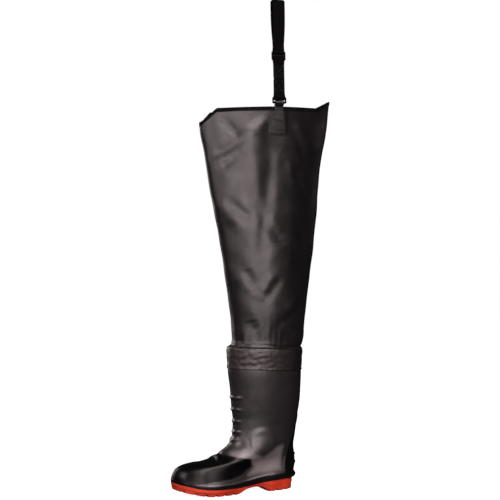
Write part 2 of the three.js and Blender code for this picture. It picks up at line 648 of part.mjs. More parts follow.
// The strap's pieces are drawn from the side, as [side, up]: side is the distance out from the leg's middle.
const topLineUp = LEG_HEIGHT - 0.01 * LEG_TOP_DEPTH;
const tabOffset = GAP + PATCH_WALL + GAP;
const tabSide = legOut(STRAP_FROM_HEEL, topLineUp) + tabOffset + WEBBING / 2;
const FOLD_RADIUS = Math.hypot(BAR, HARDWARE_THICKNESS) / 2 + GAP + WEBBING / 2;
const strapSide = tabSide + FOLD_RADIUS;
const plySide = WEBBING / 2 + GAP / 2;
const foldRun = 3.5 * FOLD_RADIUS; // from a bar to where the two plies lie together

// Heights of the hardware and its bars.
const ringUp = topLineUp + RING_LIFT + RING_HEIGHT / 2;
const ringLowBar = ringUp - (RING_HEIGHT - BAR) / 2;
const ringHighBar = ringUp + (RING_HEIGHT - BAR) / 2;
const sliderUp = ringUp + STRAP_LENGTH;
const sliderLowBar = sliderUp - (SLIDER_HEIGHT - BAR) / 2;
const sliderHighBar = sliderUp + (SLIDER_HEIGHT - BAR) / 2;
const loopTop = sliderUp + LOOP_LENGTH;

const arc = (side, up, radius, from, to, steps) =>
  Array.from({ length: steps + 1 }, (_, i) => {
    const turn = THREE.MathUtils.degToRad(mix(from, to, i / steps));
    return [side + radius * Math.cos(turn), up + radius * Math.sin(turn)];
  });

// Webbing of a given width along a path seen from the side; a closed path runs anticlockwise.
function webbing(path, width, closed = false) {
  const count = path.length;
  const offset = (distance) =>
    path.map((point, i) => {
      const before = closed ? path[(i + count - 1) % count] : path[Math.max(i - 1, 0)];
      const after = closed ? path[(i + 1) % count] : path[Math.min(i + 1, count - 1)];
      const arriving = [point[0] - before[0], point[1] - before[1]];
      const leaving = [after[0] - point[0], after[1] - point[1]];
      const a = Math.hypot(...arriving) > 0 ? arriving : leaving;
      const b = Math.hypot(...leaving) > 0 ? leaving : arriving;
      const first = new THREE.Vector2(-a[1], a[0]).normalize();
      const mitre = new THREE.Vector2(-b[1], b[0]).normalize().add(first).normalize();
      return new THREE.Vector2(...point).addScaledVector(mitre, distance / mitre.dot(first));
    });
  const inner = offset(WEBBING / 2);
  const outer = offset(-WEBBING / 2);
  const shape = new THREE.Shape(closed ? outer : [...outer, ...inner.reverse()]);
  if (closed) shape.holes.push(new THREE.Path(inner));
  const geometry = new THREE.ExtrudeGeometry(shape, { depth: width, bevelEnabled: false });
  geometry.translate(0, 0, -width / 2);
  // Shape x runs out from the leg, shape y up, and the depth across the strap.
  geometry.applyMatrix4(new THREE.Matrix4().set(0, 0, -1, 0, -1, 0, 0, 0, 0, 1, 0, 0, 0, 0, 0, 1));
  return solid(geometry);
}

// Plastic frame with slots for the webbing, each slot given by its lower and upper edge from the frame's middle.
function plasticFrame(height, slots, up) {
  const width = WEBBING_WIDTH + 2 * SIDE_BAR + 0.8;
  const rounded = (shape, w, low, high, radius) => {
    const x = w / 2;
    shape.moveTo(-x + radius, low);
    shape.lineTo(x - radius, low);
    shape.quadraticCurveTo(x, low, x, low + radius);
    shape.lineTo(x, high - radius);
    shape.quadraticCurveTo(x, high, x - radius, high);
    shape.lineTo(-x + radius, high);
    shape.quadraticCurveTo(-x, high, -x, high - radius);
    shape.lineTo(-x, low + radius);
    shape.quadraticCurveTo(-x, low, -x + radius, low);
    return shape;
  };
  const plate = rounded(new THREE.Shape(), width, -height / 2, height / 2, SIDE_BAR * 0.8);
  for (const [low, high] of slots)
    plate.holes.push(rounded(new THREE.Path(), width - 2 * SIDE_BAR, low, high, HARDWARE_BEVEL));
  const geometry = new THREE.ExtrudeGeometry(plate, {
    depth: HARDWARE_THICKNESS - 2 * HARDWARE_BEVEL,
    bevelThickness: HARDWARE_BEVEL,
    bevelSize: HARDWARE_BEVEL,
    bevelOffset: -HARDWARE_BEVEL,
    bevelSegments: 1,
    curveSegments: 3,
  });
  geometry.translate(0, 0, HARDWARE_BEVEL - HARDWARE_THICKNESS / 2);
  geometry.rotateX(Math.PI / 2);
  geometry.translate(0, -strapSide, up);
  return solid(geometry);
}

const ringSlots = [[BAR - RING_HEIGHT / 2, RING_HEIGHT / 2 - BAR]];
const sliderSlots = [
  [BAR - SLIDER_HEIGHT / 2, -BAR / 2],
  [BAR / 2, SLIDER_HEIGHT / 2 - BAR],
];

function strap() {
  const inner = strapSide - plySide;
  const outer = strapSide + plySide;
  const path = [
    [inner, ringHighBar + foldRun + STRAP_TAIL],
    [inner, ringHighBar + foldRun],
    ...arc(strapSide, ringHighBar, FOLD_RADIUS, 180, 360, 10),
    [outer, ringHighBar + foldRun],
    [outer, sliderLowBar - foldRun],
    ...arc(strapSide, sliderLowBar, FOLD_RADIUS, 0, 180, 10),
    [inner, sliderLowBar - foldRun],
    [inner, sliderLowBar - foldRun - STRAP_TAIL],
  ];
  return webbing(path, WEBBING_WIDTH);
}

// The belt loop opens from the slider up: up as a share of its length above the slider's bar, open as a share of its
// opening, width as a share of the way from the webbing's width to the loop's.
const LOOP_ROWS = [
  { up: 0.14, open: 0.14, width: 0.1 },
  { up: 0.3, open: 0.42, width: 0.45 },
  { up: 0.5, open: 0.74, width: 0.9 },
  { up: 0.72, open: 0.95, width: 1.0 },
];
function beltLoop() {
  const rise = loopTop - WEBBING / 2 - LOOP_OPENING / 2 - sliderHighBar;
  const side = (row) => plySide + row.open * (LOOP_OPENING / 2 - plySide);
  const path = [
    ...arc(strapSide, sliderHighBar, FOLD_RADIUS, 180, 360, 10),
    ...LOOP_ROWS.map((row) => [strapSide + side(row), sliderHighBar + row.up * rise]),
    ...arc(strapSide, sliderHighBar + rise, LOOP_OPENING / 2, 0, 180, 10),
    ...LOOP_ROWS.map((row) => [strapSide - side(row), sliderHighBar + row.up * rise]).reverse(),
  ];
  const half = (row) => mix(WEBBING_WIDTH, LOOP_WIDTH, row.width) / 2;
  const corner = LOOP_WIDTH * 0.2;
  const rightEdge = [
    [half({ width: 0 }), sliderHighBar - 2 * FOLD_RADIUS],
    ...LOOP_ROWS.map((row) => [half(row), sliderHighBar + row.up * rise]),
    [LOOP_WIDTH / 2, loopTop - corner],
    [LOOP_WIDTH / 2 - corner * 0.3, loopTop - corner * 0.3],
    [LOOP_WIDTH / 2 - corner, loopTop + GAP],
  ];
  const leftEdge = rightEdge.map(([x, up]) => [-x, up]).reverse();
  const outline = new THREE.Shape([...rightEdge, ...leftEdge].map((point) => new THREE.Vector2(...point)));
  const cutter = new THREE.ExtrudeGeometry(outline, { depth: 2 * strapSide, bevelEnabled: false });
  cutter.rotateX(Math.PI / 2);
  return webbing(path, LOOP_WIDTH, true).intersect(solid(cutter));
}

// The tab lies on the patch, turns over the ring's lower bar and comes back down on its own front.
function tab() {
  const half = TAB_WIDTH / 2;
  const low = topLineUp - HEM_HEIGHT - PATCH_HEIGHT * 0.55;
  const outline = [
    [STRAP_FROM_HEEL - half, low],
    [STRAP_FROM_HEEL + half, low],
    [STRAP_FROM_HEEL + half, topLineUp],
    [STRAP_FROM_HEEL - half, topLineUp],
  ];
  const strip = legForm(tabOffset + WEBBING).subtract(legForm(tabOffset)).intersect(sidePrism(outline, 0, LEG_TOP_DEPTH));
  const front = tabSide + WEBBING * 0.9;
  const path = [
    [tabSide, topLineUp - HEM_HEIGHT / 2],
    ...arc(strapSide, ringLowBar, FOLD_RADIUS, 180, 0, 10),
    [front, ringLowBar - foldRun * 0.8],
    [front, ringLowBar - TAB_FOLD],
  ];
  const fold = webbing(path.reverse(), TAB_WIDTH).translate(HEEL_BACK - STRAP_FROM_HEEL, 0, 0);
  return strip.add(fold);
}

// A piece of the strap in its place across the leg, leaning about the ring.
const leaning = (manifold) =>
  manifold
    .translate(0, 0, -ringUp)
    .rotate(0, -STRAP_LEAN, 0)
    .translate(HEEL_BACK - STRAP_FROM_HEEL, 0, ringUp);

const group = new THREE.Group();
group.add(meshOf("outsole", outsole(), red));
group.add(meshOf("upper", upper(), blackMoulded));
group.add(meshOf("insole", insole(), greyFelt));
group.add(meshOf("leg", leg(), blackFabric));
group.add(meshOf("anchor_patch", anchorPatch(), blackFabric));
group.add(meshOf("tab", tab(), blackFabric));
group.add(meshOf("ring", leaning(plasticFrame(RING_HEIGHT, ringSlots, ringUp)), blackPlastic));
group.add(meshOf("strap", leaning(strap()), blackWebbing));
group.add(meshOf("slider", leaning(plasticFrame(SLIDER_HEIGHT, sliderSlots, sliderUp)), blackPlastic));
group.add(meshOf("belt_loop", leaning(beltLoop()), blackWebbing));

export default group;
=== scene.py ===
"""Safety waist wader for the left leg in a white studio: moulded boot, fabric leg, strap with a belt loop.

Sizes are in millimetres, the same as in the part's source, apart from the belt loop's width and the ankle
pads' step. A place on the wader is (ahead, out, up): ahead of the heel's back, out towards the outer side,
and up from the ground. The finished meshes are in metres.
"""
import math

import bmesh
import bpy
import numpy as np
from mathutils import Matrix, Vector, noise


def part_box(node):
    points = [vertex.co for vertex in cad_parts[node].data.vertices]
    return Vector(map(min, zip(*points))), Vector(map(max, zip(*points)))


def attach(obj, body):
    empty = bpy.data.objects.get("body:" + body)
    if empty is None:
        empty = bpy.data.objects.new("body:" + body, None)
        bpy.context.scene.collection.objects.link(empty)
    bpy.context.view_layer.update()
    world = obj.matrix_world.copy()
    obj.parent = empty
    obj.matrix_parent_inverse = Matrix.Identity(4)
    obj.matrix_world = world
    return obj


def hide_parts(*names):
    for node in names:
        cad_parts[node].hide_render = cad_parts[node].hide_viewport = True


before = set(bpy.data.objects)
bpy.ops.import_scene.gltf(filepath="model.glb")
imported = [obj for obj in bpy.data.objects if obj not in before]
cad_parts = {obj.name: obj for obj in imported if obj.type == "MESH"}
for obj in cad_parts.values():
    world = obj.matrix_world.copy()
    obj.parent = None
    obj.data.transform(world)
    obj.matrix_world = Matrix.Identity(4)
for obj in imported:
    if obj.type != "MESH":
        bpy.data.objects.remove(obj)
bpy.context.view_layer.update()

MM = 0.001

# Outsole and boot
SOLE_LENGTH = 310.0
BALL_WIDTH = 112.0
HEEL_BACK = 42.0
HEEL_HEIGHT = 28.0
FOREFOOT_HEIGHT = 16.0
TOE_SPRING = 17.0
BOOT_WALL = 2.8
ANKLE_HEIGHT = 150.0
BOOT_HEIGHT = 340.0
RIM_TILT = 10.0
SHAFT_DEPTH = 188.0
SHAFT_WIDTH = 114.0
SHAFT_CENTRE = 72.0
RAND_HEIGHT = 17.0
RAND_STEP = 2.4
TOE_CAP_START = 240.0
TOE_CAP_SWEEP = 9.0
TOE_CAP_STEP = 1.6
ANKLE_PAD_RADIUS = 32.0
ANKLE_PAD_STEP = 1.3
ANKLE_PAD_PLACE = (0.303, 0.8)  # shares of the sole's length and of the ankle's height
ANKLE_PAD_TROUGH = 1.1
COUNTER_STEP = 1.3
FLEX_RIB = 2.4
FLEX_RIB_WIDTH = 8.0
HEEL_RIB = 3.4
HEEL_RIB_WIDTH = 12.0
SPUR_REACH = 5.0
SPUR_WIDTH = 40.0
RIB_REACH = 0.11
VAMP_STEP = 0.7
SMOOTH_FROM = 0.72  # faces with a darker shade than this get the smooth finish

# Fabric leg
LEG_WALL = 1.0
LEG_LAP = 49.0
LEG_HEIGHT = 925.0
LEG_TOP_DEPTH = 340.0
LEG_TOP_WIDTH = 96.0
HEM_HEIGHT = 9.0
HEM_STEP = 0.8

# Strap
WEBBING_WIDTH = 28.0
WEBBING = 1.6
TAB_WIDTH = 22.0
TAB_FOLD = 17.0
STRAP_FROM_HEEL = 57.0
STRAP_LEAN = math.radians(1.2)
PATCH_HEIGHT = 43.0
PATCH_WALL = 1.2
BAR = 5.0
HARDWARE_THICKNESS = 3.2
RING_HEIGHT = 15.5
RING_LIFT = 6.0
SLIDER_HEIGHT = 21.0
STRAP_LENGTH = 106.0
STRAP_TAIL = 30.0
LOOP_LENGTH = 134.0
LOOP_WIDTH = 31.0
LOOP_OPENING = 14.0
GAP = 0.3
PATCH_HALF = (0.66 * WEBBING_WIDTH, 0.52 * WEBBING_WIDTH)  # below and above

# Meshing
MERGE = 1e-6  # metres
SHORT_EDGE = 0.3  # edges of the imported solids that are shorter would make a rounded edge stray
SOFT_EDGE = 0.3

# Camera: the photograph's angle, 25 degrees from square on towards the toe, from 3 m
CAMERA_DISTANCE = 3.0
CAMERA_HEIGHT = 0.578
CAMERA_ANGLE = math.radians(25)
CAMERA_AIM = math.radians(23.06)
CAMERA_LENS = 88.26


def camera():
    data = bpy.data.cameras.new("camera")
    data.sensor_width = 36.0
    data.lens = CAMERA_LENS
    data.clip_end = 60.0
    made = bpy.data.objects.new("camera", data)
    bpy.context.collection.objects.link(made)
    across = HEEL_BACK * MM - CAMERA_DISTANCE * math.sin(CAMERA_ANGLE)
    made.location = (across, -CAMERA_DISTANCE * math.cos(CAMERA_ANGLE), CAMERA_HEIGHT)
    made.rotation_euler = (math.pi / 2, 0.0, -CAMERA_AIM)
    bpy.context.scene.camera = made


camera()


# Numbers along curves
def mix(a, b, share):
    return a + (b - a) * share


def smooth(value, low, high):
    """0 below low, 1 above high, with a soft passage between them."""
    share = np.clip((value - low) / (high - low), 0.0, 1.0)
    return share * share * (3 - 2 * share)


def ridge(distance, half_width):
    """1 on the line, 0 from half_width on, rounded."""
    return 1.0 - smooth(np.abs(distance), 0.0, half_width)


def table(columns, *rows):
    return {name: np.array(values, float) for name, values in zip(columns.split(), zip(*rows))}


def curve(x, y, at):
    """Monotone cubic curve through (x, y), read at any place."""
    slope = np.diff(y) / np.diff(x)
    tangent = np.concatenate([[slope[0]], np.zeros(len(x) - 2), [slope[-1]]])
    before, after = slope[:-1], slope[1:]
    same = before * after > 0
    tangent[1:-1][same] = (2 * before * after / np.where(same, before + after, 1))[same]
    inside = np.clip(at, x[0], x[-1])
    i = np.clip(np.searchsorted(x, inside, side="right") - 1, 0, len(x) - 2)
    span = x[i + 1] - x[i]
    s = (inside - x[i]) / span
    left = y[i] * (1 + 2 * s) * (1 - s) ** 2 + tangent[i] * span * s * (1 - s) ** 2
    return left + y[i + 1] * s * s * (3 - 2 * s) + tangent[i + 1] * span * s * s * (s - 1)


def along_line(ahead, up, points):
    """Distance from a line drawn in side view, and how far along it, from 0 to 1."""
    nearest = np.full(ahead.shape, 1e9)
    run = np.zeros(ahead.shape)
    for i, ((ax, ay), (bx, by)) in enumerate(zip(points, points[1:])):
        length = (bx - ax) ** 2 + (by - ay) ** 2
        share = np.clip(((ahead - ax) * (bx - ax) + (up - ay) * (by - ay)) / length, 0, 1)
        distance = np.hypot(ahead - mix(ax, bx, share), up - mix(ay, by, share))
        closer = distance < nearest
        nearest = np.where(closer, distance, nearest)
        run = np.where(closer, (i + share) / (len(points) - 1), run)
    return nearest, run


def depth_in(ahead, up, corners):
    """Distance into a side-view outline: positive inside, negative outside."""
    inside = np.zeros(ahead.shape, bool)
    closed = corners + corners[:1]
    for (ax, ay), (bx, by) in zip(closed, closed[1:]):
        if ay != by:
            inside ^= ((ay > up) != (by > up)) & (ahead < (bx - ax) * (up - ay) / (by - ay) + ax)
    nearest, _ = along_line(ahead, up, closed)
    return np.where(inside, nearest, -nearest)


def unevenness(points, ahead, out, up):
    """Slow noise over the surface, with its size in each direction in millimetres."""
    size = Vector((1 / ahead, 1 / out, 1 / up))
    values = [noise.noise(Vector(point) * size) for point in points.reshape(-1, 3)]
    return np.array(values).reshape(points.shape[:-1])


# Materials
class Finish:
    """A material with its shader, and short ways to add the nodes that feed it."""

    def __init__(self, name, **values):
        self.material = bpy.data.materials.new(name)
        self.material.use_nodes = True
        self.nodes = self.material.node_tree.nodes
        self.links = self.material.node_tree.links
        self.shader = self.nodes["Principled BSDF"]
        self.set(self.shader, values)

    def set(self, node, values):
        for name, value in values.items():
            node.inputs[name.replace("_", " ")].default_value = value

    def texture(self, kind, where, output, **values):
        made = self.nodes.new("ShaderNodeTex" + kind)
        self.set(made, values)
        self.links.new(where, made.inputs["Vector"])
        return made.outputs[output]

    def where(self, source="Object"):
        """Place on the piece: from its own coordinates, or along its cloth."""
        return self.nodes.new("ShaderNodeTexCoord").outputs[source]

    def noise(self, scale, detail=3.0, roughness=0.55):
        return self.texture("Noise", self.where(), "Fac", Scale=scale, Detail=detail, Roughness=roughness)

    def bands(self, pitch, direction, distortion=0.3):
        """Even ribs along the cloth, pitch in metres."""
        scale = math.pi / (10 * pitch)
        made = self.texture("Wave", self.where("UV"), "Fac", Scale=scale, Distortion=distortion)
        made.node.bands_direction = direction
        return made

    def attribute(self, name):
        made = self.nodes.new("ShaderNodeAttribute")
        made.attribute_name = name
        return made.outputs["Fac"]

    def ramp(self, value, low, high, socket=None, ends=(0.3, 0.7), middle=None):
        made = self.nodes.new("ShaderNodeValToRGB")
        for element, position, colour in zip(made.color_ramp.elements, ends, (low, high)):
            element.position = position
            element.color = (*colour, 1.0)
        if middle:
            made.color_ramp.elements.new(middle[0]).color = (*middle[1], 1.0)
        self.links.new(value, made.inputs["Fac"])
        if socket:
            self.links.new(made.outputs["Color"], self.shader.inputs[socket])
        return made.outputs["Color"]

    def mixed(self, share, low, high, socket):
        made = self.nodes.new("ShaderNodeMix")
        made.data_type = "RGBA"
        self.links.new(share, made.inputs["Factor"])
        self.links.new(low, made.inputs["A"])
        self.links.new(high, made.inputs["B"])
        self.links.new(made.outputs["Result"], self.shader.inputs[socket])

    def grain(self, *layers):
        """Bumps one on the other, each a height, its depth in metres and its strength."""
        normal = None
        for height, depth, strength in layers:
            made = self.nodes.new("ShaderNodeBump")
            self.set(made, {"Strength": strength, "Distance": depth})
            self.links.new(height, made.inputs["Height"])
            if normal is not None:
                self.links.new(normal, made.inputs["Normal"])
            normal = made.outputs["Normal"]
        self.links.new(normal, self.shader.inputs["Normal"])
        return self.material


def grey(value, warm=0.0):
    return value * (1 + warm), value, value


def moulded_finish(name, specular):
    """Satin shaft, a quarter painted paler as a painted highlight, a back painted darker as painted shade,
    and a vamp, toe and counter that are smoother and blacker.
    """
    made = Finish(name, Specular_IOR_Level=specular)
    broad = made.noise(16.0, 4.0)
    shade = made.attribute("shade")
    # the ramps run from the quarter's painted highlight at shade 0, through the shaft at 0.5 and the back's
    # painted shade at 0.7, to the smooth black at 1
    shaft_dark, shaft_light = (0.5, grey(0.008, 0.12)), (0.5, grey(0.017, 0.15))
    darker = made.ramp(shade, grey(0.09, 0.12), grey(0.001), ends=(0.0, 1.0), middle=shaft_dark)
    lighter = made.ramp(shade, grey(0.16, 0.12), grey(0.002), ends=(0.0, 1.0), middle=shaft_light)
    made.mixed(broad, darker, lighter, "Base Color")
    patches = made.noise(40.0, 4.0)
    matt = made.ramp(patches, grey(0.34), grey(0.44))
    gloss = made.ramp(patches, grey(0.26), grey(0.34))
    made.mixed(shade, matt, gloss, "Roughness")
    return made.grain((broad, 0.002, 0.12), (made.noise(650.0, 2.0), 0.00012, 0.3))


def fabric_finish():
    """Coated cloth: a faint weave under a satin skin, which is paler where it laps the boot, towards the
    front.
    """
    made = Finish("satin_coated_fabric", Specular_IOR_Level=0.5)
    mottle = made.noise(14.0, 4.0, 0.6)
    paler_lap = made.attribute("shade")
    darker = made.ramp(paler_lap, grey(0.003, 0.15), grey(0.009, 0.25), ends=(0.0, 1.0))
    lighter = made.ramp(paler_lap, grey(0.007, 0.2), grey(0.026, 0.25), ends=(0.0, 1.0))
    made.mixed(mottle, darker, lighter, "Base Color")
    made.ramp(made.noise(32.0, 4.0), grey(0.33), grey(0.42), "Roughness")
    weft = made.bands(0.0011, "X")
    warp = made.bands(0.0011, "Y")
    crumple = made.noise(60.0, 4.0, 0.6)
    return made.grain(
        (mottle, 0.004, 0.2), (crumple, 0.0014, 0.2), (weft, 0.00006, 0.35), (warp, 0.00006, 0.35),
    )


def binding_finish():
    """Black tape bound over the hem."""
    made = Finish("black_hem_binding", Specular_IOR_Level=0.06)
    rib = made.bands(0.0012, "X")
    made.ramp(rib, grey(0.001), grey(0.0025), "Base Color")
    made.ramp(made.noise(90.0), grey(0.7), grey(0.85), "Roughness")
    return made.grain((rib, 0.0002, 0.6))


def rubber_finish():
    """Orange-red rubber, a little darker and duller where it has been handled."""
    made = Finish("orange_red_rubber", Specular_IOR_Level=0.25)
    made.ramp(made.noise(20.0, 5.0), (0.34, 0.02, 0.01), (0.62, 0.052, 0.022), "Base Color")
    made.ramp(made.noise(55.0, 3.0), grey(0.36), grey(0.55), "Roughness")
    return made.grain((made.noise(90.0, 3.0), 0.0005, 0.15), (made.noise(600.0, 2.0), 0.00012, 0.3))


def webbing_finish():
    """Woven ribs across the strap and finer yarns along it, in matt black."""
    made = Finish("black_webbing", Specular_IOR_Level=0.03)
    ribs = made.bands(0.0013, "Y", 0.6)
    yarns = made.bands(0.0021, "X")
    made.ramp(ribs, grey(0.0008), grey(0.0025), "Base Color")
    made.ramp(made.noise(120.0), grey(0.6), grey(0.8), "Roughness")
    return made.grain((ribs, 0.0003, 0.6), (yarns, 0.00025, 0.5))


def plastic_finish():
    made = Finish("black_plastic", Specular_IOR_Level=0.06)
    made.ramp(made.noise(50.0), grey(0.001), grey(0.0025), "Base Color")
    made.ramp(made.noise(80.0), grey(0.42), grey(0.55), "Roughness")
    return made.grain((made.noise(900.0), 0.00008, 0.3))


def felt_finish():
    made = Finish("grey_felt", Sheen_Weight=0.3)
    fibres = made.noise(420.0, 5.0, 0.7)
    made.ramp(fibres, grey(0.05), grey(0.11), "Base Color")
    made.ramp(fibres, grey(0.85), grey(0.98), "Roughness")
    return made.grain((fibres, 0.0005, 0.6))


def thread_finish():
    made = Finish("black_thread", Specular_IOR_Level=0.6)
    twist = made.noise(1800.0, 2.0)
    made.ramp(twist, grey(0.01), grey(0.03), "Base Color")
    made.ramp(twist, grey(0.4), grey(0.6), "Roughness")
    return made.grain((twist, 0.0001, 0.5))


SATIN = moulded_finish("satin_moulded_black", 0.7)
GLOSS = moulded_finish("smooth_moulded_black", 0.2)
FABRIC = fabric_finish()
BINDING = binding_finish()
RUBBER = rubber_finish()
WEAVE = webbing_finish()
PLASTIC = plastic_finish()
FELT = felt_finish()
THREAD = thread_finish()


# Making and dressing pieces
def to_row(points):
    """From (ahead, out, up) in millimetres to the part's own frame in metres."""
    return np.stack([HEEL_BACK - points[..., 0], -points[..., 1], points[..., 2]], axis=-1) * MM


def link(name, bm, sharp, *materials):
    mesh = bpy.data.meshes.new(name)
    bm.to_mesh(mesh)
    bm.free()
    mesh.polygons.foreach_set("use_smooth", [True] * len(mesh.polygons))
    mesh.set_sharp_from_angle(angle=math.radians(sharp))
    for material in materials:
        mesh.materials.append(material)
    piece = bpy.data.objects.new(name, mesh)
    bpy.context.collection.objects.link(piece)
    return piece


def dress(piece, slot, *nodes):
    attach(piece, "root")
    if nodes:
        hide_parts(*nodes)
    return piece


def thicken(piece, wall, edge):
    """Give a laid sheet its wall, centred on the sheet, with rounded edges."""
    solidify = piece.modifiers.new("thickness", "SOLIDIFY")
    solidify.thickness = wall * MM
    solidify.offset = 0.0
    bevel = piece.modifiers.new("edges", "BEVEL")
    bevel.width = edge * MM
    bevel.segments = 2
    bevel.limit_method = "ANGLE"
    bevel.angle_limit = math.radians(35)
    bevel.harden_normals = True


def sheet_of(points, closed_up=False, closed_round=False, values=None, second=None):
    """A grid of quads laid over points[up, round], with its cloth coordinates in metres."""
    place = to_row(points)
    rows, around = points.shape[:2]
    up_steps = rows if closed_up else rows - 1
    round_steps = around if closed_round else around - 1
    rise = np.linalg.norm(np.diff(place, axis=0), axis=-1).mean(axis=1)
    height = np.concatenate([[0.0], np.cumsum(rise), [rise.sum()]])
    girth = np.linalg.norm(np.diff(place, axis=1), axis=-1).sum(axis=1).mean()
    bm = bmesh.new()
    bmesh.ops.create_grid(bm, x_segments=round_steps, y_segments=up_steps, size=1.0)
    cloth = bm.loops.layers.uv.new("cloth")
    layer = bm.verts.layers.float.new("shade") if values is not None else None
    where = {}
    for vertex in bm.verts:
        i = round((vertex.co.x + 1) / 2 * round_steps)
        j = round((vertex.co.y + 1) / 2 * up_steps)
        where[vertex] = (i, j)
        vertex.co = place[j % rows, i % around]
        if layer:
            vertex[layer] = values[j % rows, i % around]
    for face in bm.faces:
        for corner in face.loops:
            i, j = where[corner.vert]
            corner[cloth].uv = (girth * i / round_steps, height[j])
        if second is not None:
            i, j = where[face.verts[0]]
            face.material_index = int(second[j % rows, i % around])
    bmesh.ops.remove_doubles(bm, verts=bm.verts, dist=MERGE)
    bmesh.ops.dissolve_degenerate(bm, edges=bm.edges, dist=1e-7)
    bmesh.ops.recalc_face_normals(bm, faces=bm.faces)
    return bm


# Plan outline of the foot, toe first and round by the outer side: shares of the sole's length and ball width
OUTLINE = table(
    "ahead out",
    (1.0, -0.05), (0.975, 0.15), (0.915, 0.315), (0.81, 0.445), (0.69, 0.495), (0.57, 0.455), (0.45, 0.385),
    (0.32, 0.35), (0.18, 0.345), (0.06, 0.255), (0.0, 0.0), (0.06, -0.255), (0.18, -0.34), (0.32, -0.325),
    (0.45, -0.335), (0.57, -0.415), (0.69, -0.485), (0.81, -0.485), (0.915, -0.395), (0.975, -0.245),
)
# Height of the outsole's top edge, as shares of the named rises
SOLE_HEIGHTS = table(
    "ahead heel toe",
    (0.0, 1.0, 0.0), (0.12, 0.96, 0.0), (0.25, 0.73, 0.0), (0.285, 0.65, 0.0), (0.35, 0.42, 0.0),
    (0.43, 0.14, 0.0), (0.5, 0.03, 0.0), (0.52, 0.0, 0.0), (0.72, 0.0, 0.05), (0.81, 0.0, 0.22),
    (0.88, 0.0, 0.46), (0.94, 0.0, 0.72), (1.0, 0.0, 1.02),
)
RAND = table("ahead height", (0.0, 1.0), (0.35, 1.0), (0.62, 0.68), (1.0, 0.5))
# Levels of the foot: two ends in side view, half widths, how oval, and how far the level keeps to the
# sole's curve
FOOT_LEVELS = table(
    "front front_up back back_up outer inner oval follow",
    (0.99, 0.265, -0.006, 0.3, 0.479, 0.479, 0.0, 1.0),
    (0.985, 0.315, -0.012, 0.345, 0.46, 0.462, 0.0, 1.0),
    (0.975, 0.36, -0.016, 0.39, 0.438, 0.444, 0.0, 0.95),
    (0.96, 0.402, -0.017, 0.43, 0.42, 0.428, 0.05, 0.85),
    (0.937, 0.435, -0.017, 0.465, 0.408, 0.416, 0.1, 0.75),
    (0.905, 0.459, -0.016, 0.5, 0.403, 0.407, 0.18, 0.63),
    (0.866, 0.474, -0.014, 0.532, 0.403, 0.403, 0.28, 0.5),
    (0.822, 0.482, -0.012, 0.563, 0.407, 0.403, 0.4, 0.38),
    (0.776, 0.493, -0.01, 0.595, 0.412, 0.405, 0.52, 0.28),
    (0.727, 0.516, -0.007, 0.627, 0.413, 0.406, 0.64, 0.18),
    (0.679, 0.548, -0.005, 0.66, 0.413, 0.405, 0.74, 0.1),
    (0.631, 0.593, -0.004, 0.695, 0.411, 0.404, 0.83, 0.04),
    (0.585, 0.655, -0.004, 0.733, 0.408, 0.402, 0.9, 0.0),
    (0.545, 0.725, -0.007, 0.777, 0.403, 0.399, 0.96, 0.0),
    (0.518, 0.805, -0.012, 0.83, 0.398, 0.395, 1.0, 0.0),
    (0.502, 0.9, -0.018, 0.91, 0.393, 0.392, 1.0, 0.0),
)
# Levels of the shaft, as shares of its height, depth and width
SHAFT_LEVELS = table(
    "up front back half",
    (0.0, 0.437, 0.423, 0.388), (0.12, 0.436, 0.444, 0.401), (0.235, 0.452, 0.467, 0.422),
    (0.36, 0.461, 0.484, 0.446), (0.49, 0.471, 0.492, 0.466), (0.742, 0.5, 0.5, 0.494), (1.0, 0.5, 0.5, 0.5),
)
# Levels of the leg, as shares of its height over the boot and of its top's depth and width; crease 1 is
# a sharp fold
LEG_LEVELS = table(
    "up front back half crease",
    (0.014, 0.258, 0.262, 0.57, 0.5), (0.03, 0.243, 0.272, 0.545, 0.5), (0.075, 0.248, 0.297, 0.56, 0.52),
    (0.2, 0.274, 0.328, 0.6, 0.58), (0.32, 0.309, 0.36, 0.61, 0.64), (0.445, 0.347, 0.385, 0.6, 0.7),
    (0.69, 0.426, 0.429, 0.555, 0.8), (0.81, 0.463, 0.457, 0.525, 0.84), (0.9, 0.492, 0.485, 0.505, 0.86),
    (1.06, 0.5, 0.518, 0.48, 0.88),
)
# Top line of the leg in side view, as shares of the top's depth
TOP_LINE = table(
    "ahead drop",
    (-0.6, -0.1), (-0.509, -0.056), (-0.403, 0.0), (0.0, 0.012), (0.391, 0.033), (0.492, 0.13), (0.6, 0.2),
)


def sole_top(ahead):
    share = ahead / SOLE_LENGTH
    heel = curve(SOLE_HEIGHTS["ahead"], SOLE_HEIGHTS["heel"], share)
    toe = curve(SOLE_HEIGHTS["ahead"], SOLE_HEIGHTS["toe"], share)
    return FOREFOOT_HEIGHT + heel * (HEEL_HEIGHT - FOREFOOT_HEIGHT) + toe * TOE_SPRING


def levels(front, front_up, back, back_up, outer, inner, oval=1.0, follow=0.0, crease=0.5):
    columns = (front, front_up, back, back_up, outer, inner, oval, follow, crease)
    return np.stack(np.broadcast_arrays(*columns), axis=1)


def foot_levels():
    t = FOOT_LEVELS
    length, height, width = SOLE_LENGTH, ANKLE_HEIGHT, BALL_WIDTH
    made = levels(
        t["front"] * length, t["front_up"] * height, t["back"] * length, t["back_up"] * height,
        t["outer"] * width, t["inner"] * width, t["oval"], t["follow"],
    )
    # the lowest level lies on the outsole
    base = made[:1].copy()
    base[0, [1, 3]] = sole_top(base[0, [0, 2]]) + GAP
    return np.concatenate([base, made])


def shaft_levels(up, front, back, half):
    rise = BOOT_HEIGHT - ANKLE_HEIGHT
    return levels(
        SHAFT_CENTRE + front * SHAFT_DEPTH, ANKLE_HEIGHT + up * (rise + RIM_TILT / 2),
        SHAFT_CENTRE - back * SHAFT_DEPTH, ANKLE_HEIGHT + up * (rise - RIM_TILT / 2),
        half * SHAFT_WIDTH, half * SHAFT_WIDTH,
    )


